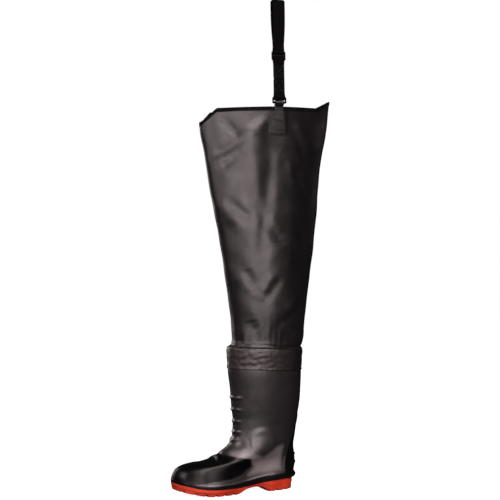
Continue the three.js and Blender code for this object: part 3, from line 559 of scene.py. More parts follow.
def leg_levels():
    t = LEG_LEVELS
    rise = BOOT_HEIGHT + t["up"] * (LEG_HEIGHT - BOOT_HEIGHT)
    tilt = np.maximum(0.0, 1 - 10 * t["up"]) * RIM_TILT / 2
    half = t["half"] * LEG_TOP_WIDTH
    return levels(
        SHAFT_CENTRE + t["front"] * LEG_TOP_DEPTH, rise + tilt,
        SHAFT_CENTRE - t["back"] * LEG_TOP_DEPTH, rise - tilt,
        half, half, crease=t["crease"],
    )


def refine(rows, step):
    """More levels between the given ones, on a smooth curve through them, about step apart."""
    lengths = np.linalg.norm(np.diff(rows[:, :4], axis=0), axis=1) / math.sqrt(2)
    x = np.concatenate([[0.0], np.cumsum(lengths)])
    at = np.linspace(0.0, x[-1], int(x[-1] / step) + 1)
    return np.stack([curve(x, rows[:, column], at) for column in range(rows.shape[1])], axis=1)


def outline_points(around):
    """Closed centripetal curve through the foot's outline."""
    points = np.stack([OUTLINE["ahead"], OUTLINE["out"]], axis=1)
    count = len(points)
    at = np.arange(around) * count / around
    i = at.astype(int)
    s = (at - i)[:, None]
    p0, p1, p2, p3 = (points[(i + step) % count] for step in (-1, 0, 1, 2))
    d0, d1, d2 = (np.linalg.norm(b - a, axis=1)[:, None] ** 0.5 for a, b in ((p0, p1), (p1, p2), (p2, p3)))
    t1 = ((p1 - p0) / d0 - (p2 - p0) / (d0 + d1) + (p2 - p1) / d1) * d1
    t2 = ((p2 - p1) / d1 - (p3 - p1) / (d1 + d2) + (p3 - p2) / d2) * d1
    return (
        p1 * (2 * s**3 - 3 * s**2 + 1) + t1 * (s**3 - 2 * s**2 + s)
        + p2 * (3 * s**2 - 2 * s**3) + t2 * (s**3 - s**2)
    )


FOLD_ROUND = 36.0  # how full the leg's front and back folds are


def ring_grid(rows, around):
    """Points [level, place round, (ahead, out, up)] of the form through the levels."""
    foot = outline_points(around)
    turn = 2 * math.pi * np.arange(around) / around
    columns = (rows[:, column][:, None] for column in range(9))
    front, front_up, back, back_up, outer, inner, oval, follow, crease = columns
    sine = np.abs(np.sin(turn))[None]
    fullness = FOLD_ROUND * (crease - 0.5) / 0.38 * sine * np.exp(-((sine / 0.35) ** 2))
    bulge = np.sign(np.sin(turn))[None] * (sine ** (2 * crease) + fullness / outer)
    along = mix(foot[:, 0][None], (1 + np.cos(turn))[None] / 2, oval)
    across = mix(2 * foot[:, 1][None], bulge, oval)
    ahead = mix(back, front, along)
    sag = mix(sole_top(back), sole_top(front), along) - sole_top(ahead)
    up = mix(back_up, front_up, along) - follow * sag
    out = across * np.where(across > 0, outer, inner)
    return np.stack([ahead, out, up], axis=-1)


def outward(points):
    """Outward normals of a grid of points that is closed round its second axis."""
    around = np.roll(points, -1, axis=1) - np.roll(points, 1, axis=1)
    rising = np.gradient(points, axis=0)
    normal = np.cross(around, rising)
    return normal / np.maximum(np.linalg.norm(normal, axis=-1, keepdims=True), 1e-9)


# Boot: the smooth form, then what is raised on it as heights over the form
FLEX_RIBS = table(
    "ahead up lean",
    (0.5, 1.5, 0), (0.5, 1.31, 0), (0.5, 1.12, 0), (0.5, 0.95, 6), (0.515, 0.82, 24), (0.565, 0.705, 44),
    (0.625, 0.62, 58),
)
COUNTER = [(0.115, 0.24), (0.11, 0.45), (0.085, 0.65), (0.03, 0.93), (-0.035, 1.2), (-0.1, 1.2), (-0.1, 0.24)]
# The smoother vamp in side view: over the instep, down in front of the quarter, and forward along the rand
VAMP = [
    (0.62, 0.62), (0.41, 0.54), (0.395, 0.42), (0.48, 0.3), (0.55, 0.255), (0.7, 0.23), (1.1, 0.15),
    (1.1, 0.7),
]
# The quarter under the ankle pad, from the instep to the counter, painted paler on the outer side as a
# painted highlight
QUARTER_HIGHLIGHT = [
    (0.55, 0.67), (0.6, 0.5), (0.42, 0.52), (0.37, 0.41), (0.42, 0.29), (0.14, 0.33), (0.13, 0.72),
    (0.18, 0.7), (0.3, 0.55), (0.44, 0.68),
]
HEEL_RIBS = (0.55, 0.42)


def in_side_view(shares):
    return [(ahead * SOLE_LENGTH, up * ANKLE_HEIGHT) for ahead, up in shares]


def boot_relief(points):
    """Height of what is raised on the boot, and its shade: 0 the quarter painted paler as a painted
    highlight, 0.5 shaft, up to 0.7 at the back with painted shade, 1 black.
    """
    ahead, out, up = points[..., 0], points[..., 1], points[..., 2]
    height = curve(RAND["ahead"], RAND["height"], ahead / SOLE_LENGTH) * RAND_HEIGHT
    share = (up - sole_top(ahead)) / height
    rand = RAND_STEP * (1 - smooth(share, 0.66, 1.08))

    foot = up < ANKLE_HEIGHT
    edge = TOE_CAP_START + TOE_CAP_SWEEP * (out / (BALL_WIDTH / 2)) ** 2
    toe_cap = TOE_CAP_STEP * smooth(ahead - edge, -16, 8) * foot

    pad_ahead, pad_up = ANKLE_PAD_PLACE[0] * SOLE_LENGTH, ANKLE_PAD_PLACE[1] * ANKLE_HEIGHT
    radius = np.hypot(ahead - pad_ahead, up - pad_up)
    pad = ANKLE_PAD_STEP * (1 - smooth(radius, ANKLE_PAD_RADIUS - 8, ANKLE_PAD_RADIUS + 7))
    under_pad = smooth(0.86 * ANKLE_HEIGHT - up, 0, 12)
    pad -= ANKLE_PAD_TROUGH * ridge(radius - ANKLE_PAD_RADIUS - 5, 7) * under_pad

    into_counter = depth_in(ahead, up, in_side_view(COUNTER))
    counter = COUNTER_STEP * smooth(into_counter, -1.5, 1.5) + 0.7 * ridge(into_counter - 3, 2.5)

    relief = np.maximum.reduce([rand, toe_cap, pad, counter])
    heel = smooth(0.24 * BALL_WIDTH - np.abs(out), -3, 3) * smooth(0.05 * SOLE_LENGTH - ahead, -3, 3)
    for place in HEEL_RIBS:
        from_middle = (up - place * ANKLE_HEIGHT) / (HEEL_RIB_WIDTH / 2)
        relief = np.maximum(relief, HEEL_RIB * ridge(from_middle, 1.15) * heel)
    spur_low = HEEL_HEIGHT + 1.5
    from_spur = (up - spur_low - 0.3 * RAND_HEIGHT) / (0.6 * RAND_HEIGHT)
    spur = smooth(SPUR_WIDTH / 2 - np.abs(out), -2, 2) * smooth(0.03 * SOLE_LENGTH - ahead, -3, 3)
    relief = np.maximum(relief, (SPUR_REACH + 1) * ridge(from_spur, 1.0) ** 0.7 * spur)

    for place, rise, lean in zip(*FLEX_RIBS.values()):
        angle = math.radians(lean)
        forward, higher = ahead - place * SOLE_LENGTH, up - rise * ANKLE_HEIGHT
        from_rib = higher * math.cos(angle) + forward * math.sin(angle)
        behind = higher * math.sin(angle) - forward * math.cos(angle)
        reach = 1 - smooth(behind, 0.2 * RIB_REACH * SHAFT_DEPTH, 0.7 * RIB_REACH * SHAFT_DEPTH)
        near = smooth(behind, -0.13 * SHAFT_DEPTH, -0.07 * SHAFT_DEPTH)
        rib = FLEX_RIB * ridge(from_rib, 0.62 * FLEX_RIB_WIDTH) ** 0.7 * reach * near
        relief = np.maximum(relief, rib)

    into_vamp = depth_in(ahead, up, in_side_view(VAMP))
    vamp = smooth(into_vamp, -4, 4) * foot
    behind_cap = 1 - smooth(ahead - edge, -70, -16)
    relief = relief - VAMP_STEP * vamp * behind_cap * (1 - smooth(rand, 0, 1))
    on_counter, on_rand = smooth(into_counter, -1, 1), smooth(rand, 1.6, 2.3)
    polish = np.maximum.reduce([vamp, 0.9 * on_counter, 0.8 * on_rand, toe_cap / 4])
    # painted highlight: the quarter is painted paler, on the outer side only, where the light catches it
    quarter = smooth(depth_in(ahead, up, in_side_view(QUARTER_HIGHLIGHT)), -9, 9) * smooth(out, 10, 30)
    # painted shade: the boot is painted darker towards the heel's back, where the light falls off
    painted_rear_shade = 0.2 * smooth(50 - ahead, 0, 60)
    plain = 0.5 + painted_rear_shade - (0.5 + painted_rear_shade) * quarter
    return relief, mix(plain, 1.0, np.clip(polish, 0, 1))


BOOT_AROUND = 280
BOOT_STEP = 1.9


def boot():
    shaft = shaft_levels(**SHAFT_LEVELS)
    form = ring_grid(refine(np.concatenate([foot_levels(), shaft]), BOOT_STEP), BOOT_AROUND)
    normal = outward(form)
    relief, shade = boot_relief(form)
    outer = form + normal * relief[..., None]
    inner = form - normal * BOOT_WALL
    for face in (outer, inner):
        face[..., 2] = np.maximum(face[..., 2], sole_top(face[..., 0]) + GAP)
    # the inside needs fewer rows
    keep = np.unique(np.append(np.arange(0, len(inner), 5), len(inner) - 1))[::-1]
    points = np.concatenate([outer, inner[keep]])
    shade = np.concatenate([shade, np.full(inner[keep, :, 0].shape, 0.5)])
    bm = sheet_of(points, closed_up=True, closed_round=True, values=shade, second=shade > SMOOTH_FROM)
    return dress(link("moulded_boot", bm, 50, SATIN, GLOSS), "moulded", "upper")


boot()


# Leg: its smooth form, then listed folds. A fold is a line in side view with its height, negative
# in a trough, and its half width.
OUTER_FOLDS = [
    # height, half width, line
    (-3.6, 26, [(30, 905), (14, 864), (-7, 833), (-25, 799), (-36, 777)]),
    (2.7, 30, [(2, 905), (-14, 866), (-30, 828), (-46, 790)]),
    (-2.4, 22, [(12, 790), (-4, 744), (-23, 727)]),
    (2.1, 27, [(34, 800), (16, 745), (-4, 700)]),
    (2.7, 36, [(75, 907), (112, 854), (125, 809), (122, 740)]),
    (-3.3, 30, [(72, 860), (80, 787), (86, 715), (94, 680)]),
    (-2.4, 27, [(110, 672), (94, 648), (104, 607), (98, 550)]),
    (-3.2, 21, [(201, 900), (174, 866), (147, 845)]),
    (2.4, 24, [(87, 899), (112, 868), (147, 850)]),
    (-2.4, 21, [(212, 802), (185, 812), (155, 832)]),
    (-2.1, 20, [(196, 776), (178, 788), (160, 810)]),
    (1.8, 20, [(208, 788), (182, 799), (156, 820)]),
    (2.7, 24, [(205, 696), (180, 668), (157, 631)]),
    (-2.7, 21, [(174, 690), (150, 668), (126, 650)]),
    (2.4, 24, [(91, 660), (70, 640), (51, 612)]),
    (-1.8, 21, [(80, 636), (62, 614), (40, 584)]),
    (-2.1, 21, [(142, 534), (132, 512), (124, 486)]),
    (1.8, 21, [(156, 524), (140, 498), (120, 474)]),
    (2.1, 22, [(65, 526), (86, 500), (104, 471)]),
    (-1.8, 21, [(52, 512), (72, 488), (94, 456)]),
    (-2.1, 22, [(126, 414), (122, 396), (110, 384)]),
    (-1.8, 21, [(20, 566), (8, 530), (0, 496)]),
    (1.5, 21, [(40, 424), (22, 448), (4, 474)]),
    (-1.5, 18, [(64, 396), (40, 410), (16, 426)]),
    (-1.8, 21, [(2, 644), (-18, 612), (-32, 584)]),
]
INNER_FOLDS = [
    (-3.3, 30, [(60, 900), (66, 820), (56, 740), (62, 690)]),
    (2.7, 33, [(100, 905), (120, 850), (116, 770)]),
    (-2.7, 24, [(204, 818), (170, 840), (136, 852)]),
    (2.1, 22, [(208, 790), (176, 806), (146, 826)]),
    (-3.0, 24, [(12, 900), (-12, 850), (-36, 796)]),
    (2.4, 27, [(-8, 905), (-30, 860), (-54, 816)]),
    (-2.4, 22, [(178, 692), (150, 670), (118, 654)]),
    (2.4, 24, [(84, 654), (60, 620), (38, 596)]),
    (-2.4, 22, [(22, 704), (0, 670), (-22, 646)]),
    (-2.1, 21, [(142, 534), (120, 505), (92, 486)]),
    (1.8, 21, [(56, 534), (80, 495), (102, 462)]),
    (-1.8, 20, [(32, 484), (10, 460), (-10, 436)]),
    (-1.8, 20, [(114, 414), (90, 396), (58, 388)]),
]
# Behind this line, which runs down from the strap, the outer side turns away: ahead at each height
TURN_LINE = table("up ahead", (340, 14), (400, 17), (603, 25), (686, 17), (794, 2), (901, 38), (960, 50))
TURN_DEPTH = 9.0
LAP_SWELL = 1.6
TUCK_DEPTH = 4.0
TUCK_ABOVE_RIM = 7.0
PATCH_MARGIN = 10.0
INNER_CORNER_SAG = 6.0


def top_line(ahead, out=0.0):
    """Height of the leg's top edge in side view; the inner side is a little lower at the clipped corner."""
    share = (ahead - SHAFT_CENTRE) / LEG_TOP_DEPTH
    sag = INNER_CORNER_SAG * smooth(share, 0.2, 0.4) * smooth(-np.asarray(out), 0, 10)
    return LEG_HEIGHT - np.interp(share, TOP_LINE["ahead"], TOP_LINE["drop"]) * LEG_TOP_DEPTH - sag


def rim_line(ahead):
    """Height of the boot's rim, hidden under the leg's lap."""
    return BOOT_HEIGHT + (ahead - SHAFT_CENTRE) / SHAFT_DEPTH * RIM_TILT


def leg_relief(points):
    ahead, out, up = points[..., 0], points[..., 1], points[..., 2]
    relief = np.zeros(ahead.shape)
    for folds, side in ((OUTER_FOLDS, 1), (INNER_FOLDS, -1)):
        on_side = smooth(out * side, -4, 12)
        for height, half_width, line in folds:
            distance, run = along_line(ahead, up, line)
            swell = 0.35 + 0.65 * smooth(run, 0.0, 0.3) * (1 - smooth(run, 0.7, 1.0))
            relief += height * np.exp(-((distance / (0.6 * half_width)) ** 2)) * swell * on_side
    behind = np.interp(up, TURN_LINE["up"], TURN_LINE["ahead"]) - ahead
    reach = mix(40, 75, smooth(up, 400, 800))
    turned = smooth(behind, -8, reach) * smooth(out, 2, 22) * smooth(up, 380, 620)
    relief -= TURN_DEPTH * turned
    above_rim = up - rim_line(ahead)
    loose = smooth(above_rim, 4, 60)
    relief += (2.6 * unevenness(points, 80, 60, 120) + 1.2 * unevenness(points, 32, 30, 46)) * loose
    # gathers that run up from the rim
    gathers = unevenness(points, 13, 13, 60)
    relief += 1.4 * gathers * smooth(above_rim, 2, 14) * (1 - smooth(above_rim, 20, 95))
    # the tuck over the rim, and the wrinkled band that hugs the shaft below it
    wander = 4 * unevenness(points, 60, 60, 400)
    at_back = smooth(SHAFT_CENTRE - ahead, 30, 85)
    relief -= TUCK_DEPTH * ridge(above_rim - TUCK_ABOVE_RIM - wander, 7) * (1 - at_back)
    relief += 5.0 * ridge(above_rim - 22, 34) * at_back
    band = 1 - smooth(above_rim, -6, 4)
    crumple = np.maximum(unevenness(points, 20, 20, 9) + 0.6 * unevenness(points, 9, 9, 8), -0.25)
    relief += band * (LAP_SWELL * smooth(above_rim, -44, -8) + 1.2 * crumple)
    relief = np.where(above_rim < 3, np.maximum(relief, -0.6), relief)
    # the cloth lies plain under the strap's patch and along the hem
    beside = np.abs(ahead - STRAP_FROM_HEEL) - PATCH_HALF[0]
    from_patch = np.maximum(beside, LEG_HEIGHT - PATCH_HEIGHT - 22 - up)
    plain = np.where(out > 0, smooth(from_patch, 1, PATCH_MARGIN), 1.0)
    return relief * plain * mix(0.35, 1.0, smooth(top_line(ahead) - up, 4, 45))


LEG_AROUND = 240
LEG_STEP = 2.7
HEM_ROWS = 13
LAP_EDGE = (0.0, 0.4, 1.0, 2.0, 3.2)


def leg_form_rows():
    lap_share = 1 - LEG_LAP / (BOOT_HEIGHT - ANKLE_HEIGHT)
    half = np.full(4, 0.5)
    up = np.array([lap_share, mix(lap_share, 1, 0.35), mix(lap_share, 1, 0.7), 1.012])
    lap = shaft_levels(up, half, half, half)
    swell = LEG_WALL + GAP
    lap[:, [0, 4, 5]] += swell
    lap[:, 2] -= swell
    return refine(np.concatenate([lap, leg_levels()]), LEG_STEP)


def to_heights(form, heights):
    """The form read again at other heights, a column at a time."""
    made = np.empty((heights.shape[0], form.shape[1], 3))
    made[..., 2] = heights
    for column in range(form.shape[1]):
        for axis in (0, 1):
            made[:, column, axis] = np.interp(heights[:, column], form[:, column, 2], form[:, column, axis])
    return made


def leg_form():
    form = ring_grid(leg_form_rows(), LEG_AROUND)
    low = form[0, :, 2]
    top = top_line(form[-1, :, 0])
    for _ in range(4):
        reached = to_heights(form, top[None])[0]
        top = top_line(reached[:, 0], reached[:, 1])
    hem = top - HEM_HEIGHT - 3
    shares = np.arange(0.0, 1.0, LEG_STEP / (LEG_HEIGHT - low.mean()))
    body = low + LAP_EDGE[-1] + (hem - low - LAP_EDGE[-1])[None] * shares[1:, None]
    edge = low[None] + np.array(LAP_EDGE)[:, None]
    last = mix(hem[None], top[None], np.linspace(0, 1, HEM_ROWS)[:, None])
    return to_heights(form, np.concatenate([edge, body, last]))


LEG_FORM = leg_form()


def leg_surface(ahead, up):
    """How far out the leg's plain outer side is at a place in side view."""
    ring = LEG_FORM[:, 1 : LEG_AROUND // 2]
    rows = np.argmin(np.abs(ring[:, LEG_AROUND // 4, 2][:, None] - np.ravel(up)[None]), axis=0)
    found = [np.interp(-a, -ring[row, :, 0], ring[row, :, 1]) for row, a in zip(rows, np.ravel(ahead))]
    return np.reshape(found, np.shape(ahead))


def leg():
    form = LEG_FORM
    normal = outward(form)
    relief = leg_relief(form)
    below_top = form[-1:, :, 2] - form[..., 2]
    above_edge = form[..., 2] - form[:1, :, 2]
    hem = HEM_STEP * (1 - smooth(below_top, HEM_HEIGHT - 0.6, HEM_HEIGHT + 0.6))
    bead = 0.6 * ridge(above_edge - 2.2, 2.6) - 0.4 * (above_edge < 0.2)
    outer = form + normal * (relief + hem + bead)[..., None]
    held = form[..., 2] < rim_line(form[..., 0]) + 3
    wall = np.where(held, -LEG_WALL + 0.05, relief - LEG_WALL - 0.5 * hem)
    inner = form + normal * wall[..., None]
    # the inside keeps one row in three under the hem
    hem_start = len(inner) - HEM_ROWS
    keep = np.unique(np.append(np.arange(0, hem_start, 3), np.arange(hem_start, len(inner))))
    points = np.concatenate([outer, inner[keep[::-1]]])
    # the cloth is paler where it laps the boot, fading out towards the heel
    paler_lap = (1 - smooth(points[..., 2] - rim_line(points[..., 0]), -4, 4)) * smooth(points[..., 0], -10, 80)
    bound = np.zeros(points.shape[:2])
    bound[len(outer) - HEM_ROWS + 3 : len(outer) + HEM_ROWS - 4] = 1
    bm = sheet_of(points, closed_up=True, closed_round=True, values=paler_lap, second=bound)
    return dress(link("fabric_leg", bm, 50, FABRIC, BINDING), "coated_fabric", "leg")


leg()


# Strap: its middle line is drawn from the side as (side, up), side being the distance out from the leg's
# middle
TOP_AT_STRAP = LEG_HEIGHT - 0.01 * LEG_TOP_DEPTH
TAB_OFFSET = GAP + PATCH_WALL + GAP
FOLD_RADIUS = math.hypot(BAR, HARDWARE_THICKNESS) / 2 + GAP + WEBBING / 2
PLY_SIDE = WEBBING / 2 + GAP / 2
FOLD_RUN = 3.5 * FOLD_RADIUS
RING_FULLNESS = 1.1
SLIDER_FULLNESS = 1.16
RING_UP = TOP_AT_STRAP + RING_LIFT + RING_HEIGHT / 2
RING_LOW = RING_UP - (RING_HEIGHT - BAR) / 2
RING_HIGH = RING_UP + (RING_HEIGHT - BAR) / 2
SLIDER_UP = RING_UP + STRAP_LENGTH
SLIDER_LOW = SLIDER_UP - (SLIDER_HEIGHT - BAR) / 2
SLIDER_HIGH = SLIDER_UP + (SLIDER_HEIGHT - BAR) / 2
LOOP_TOP = SLIDER_UP + LOOP_LENGTH


def ring_side():
    """How far out the ring's middle is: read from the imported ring, which stands upright."""
    low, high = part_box("ring")
    return -(low[1] + high[1]) / 2 / MM


STRAP_SIDE = ring_side()
TAB_SIDE = STRAP_SIDE - FOLD_RADIUS
TAB_LOW = TOP_AT_STRAP - HEM_HEIGHT - 0.55 * PATCH_HEIGHT


def arc(up, radius, start, end, fullness=1.0, steps=14):
    """A turn of the webbing, which may bulge upwards or downwards to fill a slot."""
    turn = np.radians(np.linspace(start, end, steps + 1))
    return np.stack([STRAP_SIDE + radius * np.cos(turn), up + fullness * radius * np.sin(turn)], axis=1)


def ease(start, end, steps=8):
    """From one point to another, leaving and arriving upright."""
    share = np.linspace(0, 1, steps + 1)[1:-1]
    return np.stack([mix(start[0], end[0], smooth(share, 0, 1)), mix(start[1], end[1], share)], axis=1)


def path_of(*parts):
    return np.concatenate([np.atleast_2d(part) for part in parts])


def even(path, step, closed=False):
    """The path again in even steps."""
    if closed:
        path = np.concatenate([path, path[:1]])
    run = np.concatenate([[0.0], np.cumsum(np.linalg.norm(np.diff(path, axis=0), axis=1))])
    count = int(run[-1] / step)
    at = np.linspace(0, run[-1], count + 1)
    made = np.stack([np.interp(at, run, path[:, axis]) for axis in (0, 1)], axis=1)
    return made[:-1] if closed else made


RIBBON_ACROSS = 10
RIBBON_STEP = 1.5


def ribbon(name, path, half_width, material, slot, node, closed=False, lean=True):
    """Webbing of a given half width along a path, with its thickness and rounded edges."""
    path = even(path, RIBBON_STEP, closed)
    half = np.array([half_width(up) for up in path[:, 1]])
    across = np.linspace(-1, 1, RIBBON_ACROSS + 1)[None] * half[:, None]
    side, up = (np.broadcast_to(path[:, axis][:, None], across.shape) for axis in (0, 1))
    bm = sheet_of(strap_place(across, side, up, lean), closed_up=closed)
    piece = link(name, bm, 60, material)
    thicken(piece, WEBBING, 0.45)
    return dress(piece, slot, node)


def strap_place(across, side, up, lean=True):
    """Places on the leaning strap, across being positive towards the heel."""
    if not lean:
        return np.stack([STRAP_FROM_HEEL - across, side, up], axis=-1)
    rise = up - RING_UP
    back = across * math.cos(STRAP_LEAN) - rise * math.sin(STRAP_LEAN)
    high = across * math.sin(STRAP_LEAN) + rise * math.cos(STRAP_LEAN)
    return np.stack([STRAP_FROM_HEEL - back, side, RING_UP + high], axis=-1)


def strap():
    inner, outer = STRAP_SIDE - PLY_SIDE, STRAP_SIDE + PLY_SIDE
    near, far = STRAP_SIDE - FOLD_RADIUS, STRAP_SIDE + FOLD_RADIUS
    low, high = RING_HIGH + FOLD_RUN, SLIDER_LOW - FOLD_RUN
    path = path_of(
        (inner, low + STRAP_TAIL), (inner, low),
        ease((inner, low), (near, RING_HIGH)), arc(RING_HIGH, FOLD_RADIUS, 180, 360, RING_FULLNESS),
        ease((far, RING_HIGH), (outer, low)), (outer, low), (outer, high),
        ease((outer, high), (far, SLIDER_LOW)), arc(SLIDER_LOW, FOLD_RADIUS, 0, 180, SLIDER_FULLNESS),
        ease((near, SLIDER_LOW), (inner, high)), (inner, high), (inner, high - STRAP_TAIL),
    )
    ribbon("strap_webbing", path, lambda up: WEBBING_WIDTH / 2, WEAVE, "webbing", "strap")


LOOP_ROWS = table("up open width", (0.14, 0.14, 0.1), (0.3, 0.42, 0.45), (0.5, 0.74, 0.9), (0.72, 0.95, 1.0))


def belt_loop():
    arch = LOOP_TOP - WEBBING / 2 - LOOP_OPENING / 2
    rise = arch - SLIDER_HIGH
    share = np.linspace(0, 1, 60)
    rows = np.concatenate([[0.0], LOOP_ROWS["up"], [1.0]])
    opened = mix(PLY_SIDE, LOOP_OPENING / 2, LOOP_ROWS["open"])
    sides = np.concatenate([[FOLD_RADIUS], opened, [LOOP_OPENING / 2]])
    halves = mix(WEBBING_WIDTH, LOOP_WIDTH, np.concatenate([[0.0], LOOP_ROWS["width"], [1.0]])) / 2
    opening = curve(rows, sides, share)[1:-1]
    up = (SLIDER_HIGH + rise * share)[1:-1]
    rising = np.stack([STRAP_SIDE + opening, up], axis=1)
    falling = np.stack([STRAP_SIDE - opening, up], axis=1)[::-1]
    low_turn = arc(SLIDER_HIGH, FOLD_RADIUS, 180, 360, SLIDER_FULLNESS)
    high_turn = arc(arch, LOOP_OPENING / 2, 0, 180)
    path = path_of(low_turn, rising, high_turn, falling)
    corner = 0.2 * LOOP_WIDTH

    def half_width(up):
        past = max(0.0, up - (LOOP_TOP - corner)) / corner
        rounding = corner * (1 - math.sqrt(max(0.0, 1 - past * past)))
        return float(curve(rows, halves, (up - SLIDER_HIGH) / rise)) - rounding

    ribbon("belt_loop_webbing", path, half_width, WEAVE, "webbing", "belt_loop", closed=True)


def tab():
    up = np.linspace(TAB_LOW, TOP_AT_STRAP, 12)
    lying = leg_surface(np.full(up.shape, STRAP_FROM_HEEL), up) + TAB_OFFSET + WEBBING / 2
    front = TAB_SIDE + 0.9 * WEBBING + GAP
    path = path_of(
        np.stack([lying, up], axis=1),
        ease((lying[-1], TOP_AT_STRAP), (TAB_SIDE, RING_LOW)),
        arc(RING_LOW, FOLD_RADIUS, 180, 0, RING_FULLNESS),
        ease((STRAP_SIDE + FOLD_RADIUS, RING_LOW), (front, RING_LOW - 0.8 * FOLD_RUN)),
        (front, RING_LOW - 0.8 * FOLD_RUN), (front, RING_LOW - TAB_FOLD),
    )
    ribbon("strap_tab", path, lambda up: TAB_WIDTH / 2, FABRIC, "coated_fabric", "tab", lean=False)


PATCH_TOP = LEG_HEIGHT - 0.02 * LEG_TOP_DEPTH - HEM_HEIGHT - 1


def patch():
    share = np.linspace(0, 1, 24)[:, None]
    across = np.linspace(-1, 1, 21)[None] * mix(*PATCH_HALF, share)
    up = np.broadcast_to(PATCH_TOP - PATCH_HEIGHT * (1 - share), across.shape)
    side = leg_surface(STRAP_FROM_HEEL - across, up) + GAP + PATCH_WALL / 2
    bm = sheet_of(strap_place(across, side, up, lean=False))
    piece = link("strap_patch", bm, 60, FABRIC)
    thicken(piece, PATCH_WALL, 0.4)
    return dress(piece, "coated_fabric", "anchor_patch")


strap()
belt_loop()
tab()
patch()


# Stitches: short threads that lie half sunk along a line
STITCH = 2.4
STITCH_GAP = 1.1
THREAD_RADIUS = 0.32


def stitches(name, lines, slot):
    bm = bmesh.new()
    for line in lines:
        points = to_row(np.asarray(line, float))
        run = np.concatenate([[0.0], np.cumsum(np.linalg.norm(np.diff(points, axis=0), axis=1))])
        pitch = (STITCH + STITCH_GAP) * MM
        for start in np.arange(0.0, run[-1] - STITCH * MM, pitch):
            ends = (start, start + STITCH * MM)
            a, b = (Vector([np.interp(end, run, points[:, axis]) for axis in range(3)]) for end in ends)
            direction = b - a
            turn = direction.to_track_quat("X", "Z").to_matrix().to_4x4()
            size = Matrix.Diagonal((direction.length / 2, THREAD_RADIUS * MM, THREAD_RADIUS * MM, 1.0))
            place = Matrix.Translation((a + b) / 2) @ turn @ size
            bmesh.ops.create_icosphere(bm, subdivisions=1, radius=1.0, matrix=place)
    return dress(link(name, bm, 180, THREAD), slot)


def box_lines(half, low, high):
    """A stitched box with a cross in it, as (across, up) lines."""
    corners = [(-half, low), (half, low), (half, high), (-half, high), (-half, low)]
    sides = [list(pair) for pair in zip(corners, corners[1:])]
    return sides + [[corners[0], corners[2]], [corners[1], corners[3]]]


def laid(lines, side_at, lean=True, count=12):
    """Lines of (across, up) laid on a surface."""
    made = []
    for (xa, ya), (xb, yb) in lines:
        share = np.linspace(0, 1, count)
        across, up = mix(xa, xb, share), mix(ya, yb, share)
        made.append(strap_place(across, side_at(across, up), up, lean))
    return made


def strap_stitches():
    half = WEBBING_WIDTH / 2 - 3
    faces = []
    low, high = RING_HIGH + FOLD_RUN, SLIDER_LOW - FOLD_RUN
    sides = (STRAP_SIDE + PLY_SIDE + WEBBING / 2, STRAP_SIDE - PLY_SIDE - WEBBING / 2)
    for start, end in ((low + 3, low + STRAP_TAIL - 3), (high - STRAP_TAIL + 3, high - 3)):
        for side in sides:
            lines = box_lines(half, start, end)
            faces += laid(lines, lambda across, up, side=side: np.full(across.shape, side))
    stitches("strap_stitches", faces, "webbing")


def patch_stitches():
    inset = 3.0
    low, high = PATCH_TOP - PATCH_HEIGHT + inset, PATCH_TOP - inset
    wide, narrow = (half - inset for half in PATCH_HALF)
    outline = [((-wide, low), (wide, low)), ((wide, low), (narrow, high)), ((-narrow, high), (-wide, low))]
    over = GAP + PATCH_WALL
    lines = laid(outline, lambda across, up: leg_surface(STRAP_FROM_HEEL - across, up) + over, lean=False)
    box = box_lines(TAB_WIDTH / 2 - inset, TAB_LOW + inset, PATCH_TOP - 2)
    middle = TAB_OFFSET + WEBBING

    def on_tab(across, up):
        return leg_surface(np.full(across.shape, STRAP_FROM_HEEL), up) + middle

    stitches("patch_stitches", lines + laid(box, on_tab, lean=False), "coated_fabric")


def hem_stitches():
    """One row round the leg, through the binding near its lower edge."""
    relief = leg_relief(LEG_FORM) + HEM_STEP
    points = LEG_FORM + outward(LEG_FORM) * relief[..., None]
    row = points[len(points) - HEM_ROWS + 5]
    stitches("hem_stitches", [np.concatenate([row, row[:1]])], "coated_fabric")


strap_stitches()
patch_stitches()
hem_stitches()


# Rigid pieces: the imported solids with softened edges, and the insole as it is
def softened(node, name, material, slot, angle=35):
    """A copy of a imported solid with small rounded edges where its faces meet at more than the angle."""
    bm = bmesh.new()
    bm.from_mesh(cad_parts[node].data)
    bmesh.ops.remove_doubles(bm, verts=bm.verts, dist=SHORT_EDGE * MM)
    bmesh.ops.dissolve_limit(bm, angle_limit=math.radians(1), verts=bm.verts, edges=bm.edges)
    edges = [edge for edge in bm.edges if edge.calc_face_angle(0.0) > math.radians(angle)]
    bmesh.ops.bevel(
        bm, geom=edges, offset=SOFT_EDGE * MM, segments=2, profile=0.5, affect="EDGES",
        clamp_overlap=False, material=-1,
    )
    bmesh.ops.remove_doubles(bm, verts=bm.verts, dist=2e-5)
    bmesh.ops.dissolve_degenerate(bm, edges=bm.edges, dist=1e-5)
    bmesh.ops.triangulate(bm, faces=bm.faces)
    piece = link(name, bm, angle, material)
    piece.modifiers.new("flats", "WEIGHTED_NORMAL").keep_sharp = True
    return dress(piece, slot, node)


softened("outsole", "cleated_outsole", RUBBER, "outsole")
softened("ring", "strap_ring", PLASTIC, "hardware")
softened("slider", "strap_slider", PLASTIC, "hardware")
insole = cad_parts["insole"].data.materials
insole.clear()
insole.append(FELT)


# Studio: a pale floor, four softboxes in front of the outer side and one behind it
KEY_COLOUR = (1.0, 0.85, 0.86)
ROOM_COLOUR = (0.55, 0.7, 1.0)
ROOM_LIGHT = 0.02


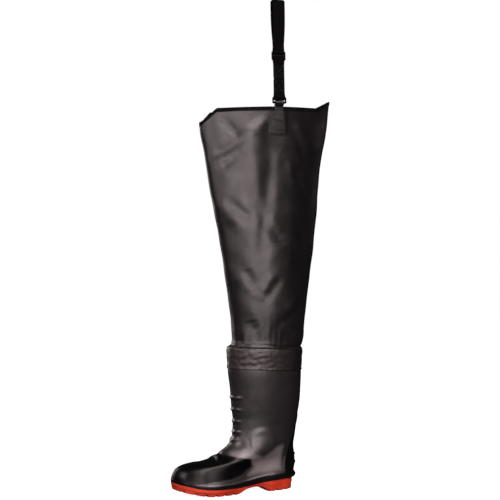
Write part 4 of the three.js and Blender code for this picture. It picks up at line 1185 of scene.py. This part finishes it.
def floor():
    bm = bmesh.new()
    bmesh.ops.create_grid(bm, x_segments=2, y_segments=2, size=30.0)
    made = Finish("pale_floor", Roughness=0.9, Base_Color=(0.6, 0.6, 0.6, 1.0))
    # the floor glows white as painted light, less near the wader than far off, so the wader's own shadow
    # shows near it; the dimmer glow paints a faint shade round the wader
    distance = made.nodes.new("ShaderNodeVectorMath")
    distance.operation = "LENGTH"
    made.links.new(made.where(), distance.inputs[0])
    glow = made.nodes.new("ShaderNodeMapRange")
    made.set(glow, {"From Min": 0.3, "From Max": 2.2, "To Min": 0.9, "To Max": 1.0})
    made.links.new(distance.outputs["Value"], glow.inputs["Value"])
    made.shader.inputs["Emission Color"].default_value = (1.0, 1.0, 1.0, 1.0)
    made.links.new(glow.outputs["Result"], made.shader.inputs["Emission Strength"])
    piece = link("pale_floor", bm, 50, made.material)
    # the floor is seen, and doesn't light the wader from below
    piece.visible_diffuse = False
    piece.visible_glossy = False


def softbox(name, place, target, size, power):
    data = bpy.data.lights.new(name, "AREA")
    data.shape = "RECTANGLE"
    data.size, data.size_y = size
    data.energy = power
    data.color = KEY_COLOUR
    lamp = bpy.data.objects.new(name, data)
    bpy.context.collection.objects.link(lamp)
    lamp.location = place
    lamp.rotation_euler = (Vector(target) - Vector(place)).to_track_quat("-Z", "Y").to_euler()
    lamp.visible_camera = False


def room():
    made = bpy.data.worlds.new("white_room")
    bpy.context.scene.world = made
    made.use_nodes = True
    nodes, links = made.node_tree.nodes, made.node_tree.links
    background = nodes["Background"]
    path = nodes.new("ShaderNodeLightPath")
    colour = nodes.new("ShaderNodeMix")
    colour.data_type = "RGBA"
    colour.inputs["A"].default_value = (*(ROOM_LIGHT * c for c in ROOM_COLOUR), 1.0)
    colour.inputs["B"].default_value = (1.0, 1.0, 1.0, 1.0)
    links.new(path.outputs["Is Camera Ray"], colour.inputs["Factor"])
    links.new(colour.outputs["Result"], background.inputs["Color"])


floor()
room()
# name, place, target, width and height, watts
softbox("key", (-0.6, -3.0, 0.75), (0.0, 0.0, 0.55), (1.9, 1.5), 58)
softbox("low", (-2.3, -2.1, 0.45), (-0.1, 0.0, 0.1), (1.3, 0.9), 10)
softbox("toe", (-2.2, -0.9, 1.6), (-0.2, 0.0, 0.05), (1.0, 0.8), 22)
softbox("back", (-1.6, 2.6, 1.2), (0.0, 0.0, 0.5), (2.0, 2.2), 45)
softbox("high", (0.1, -2.2, 2.3), (-0.05, 0.0, 0.05), (1.8, 1.2), 70)
bpy.context.scene.view_settings.view_transform = "Standard"
bpy.context.scene.view_settings.look = "None"
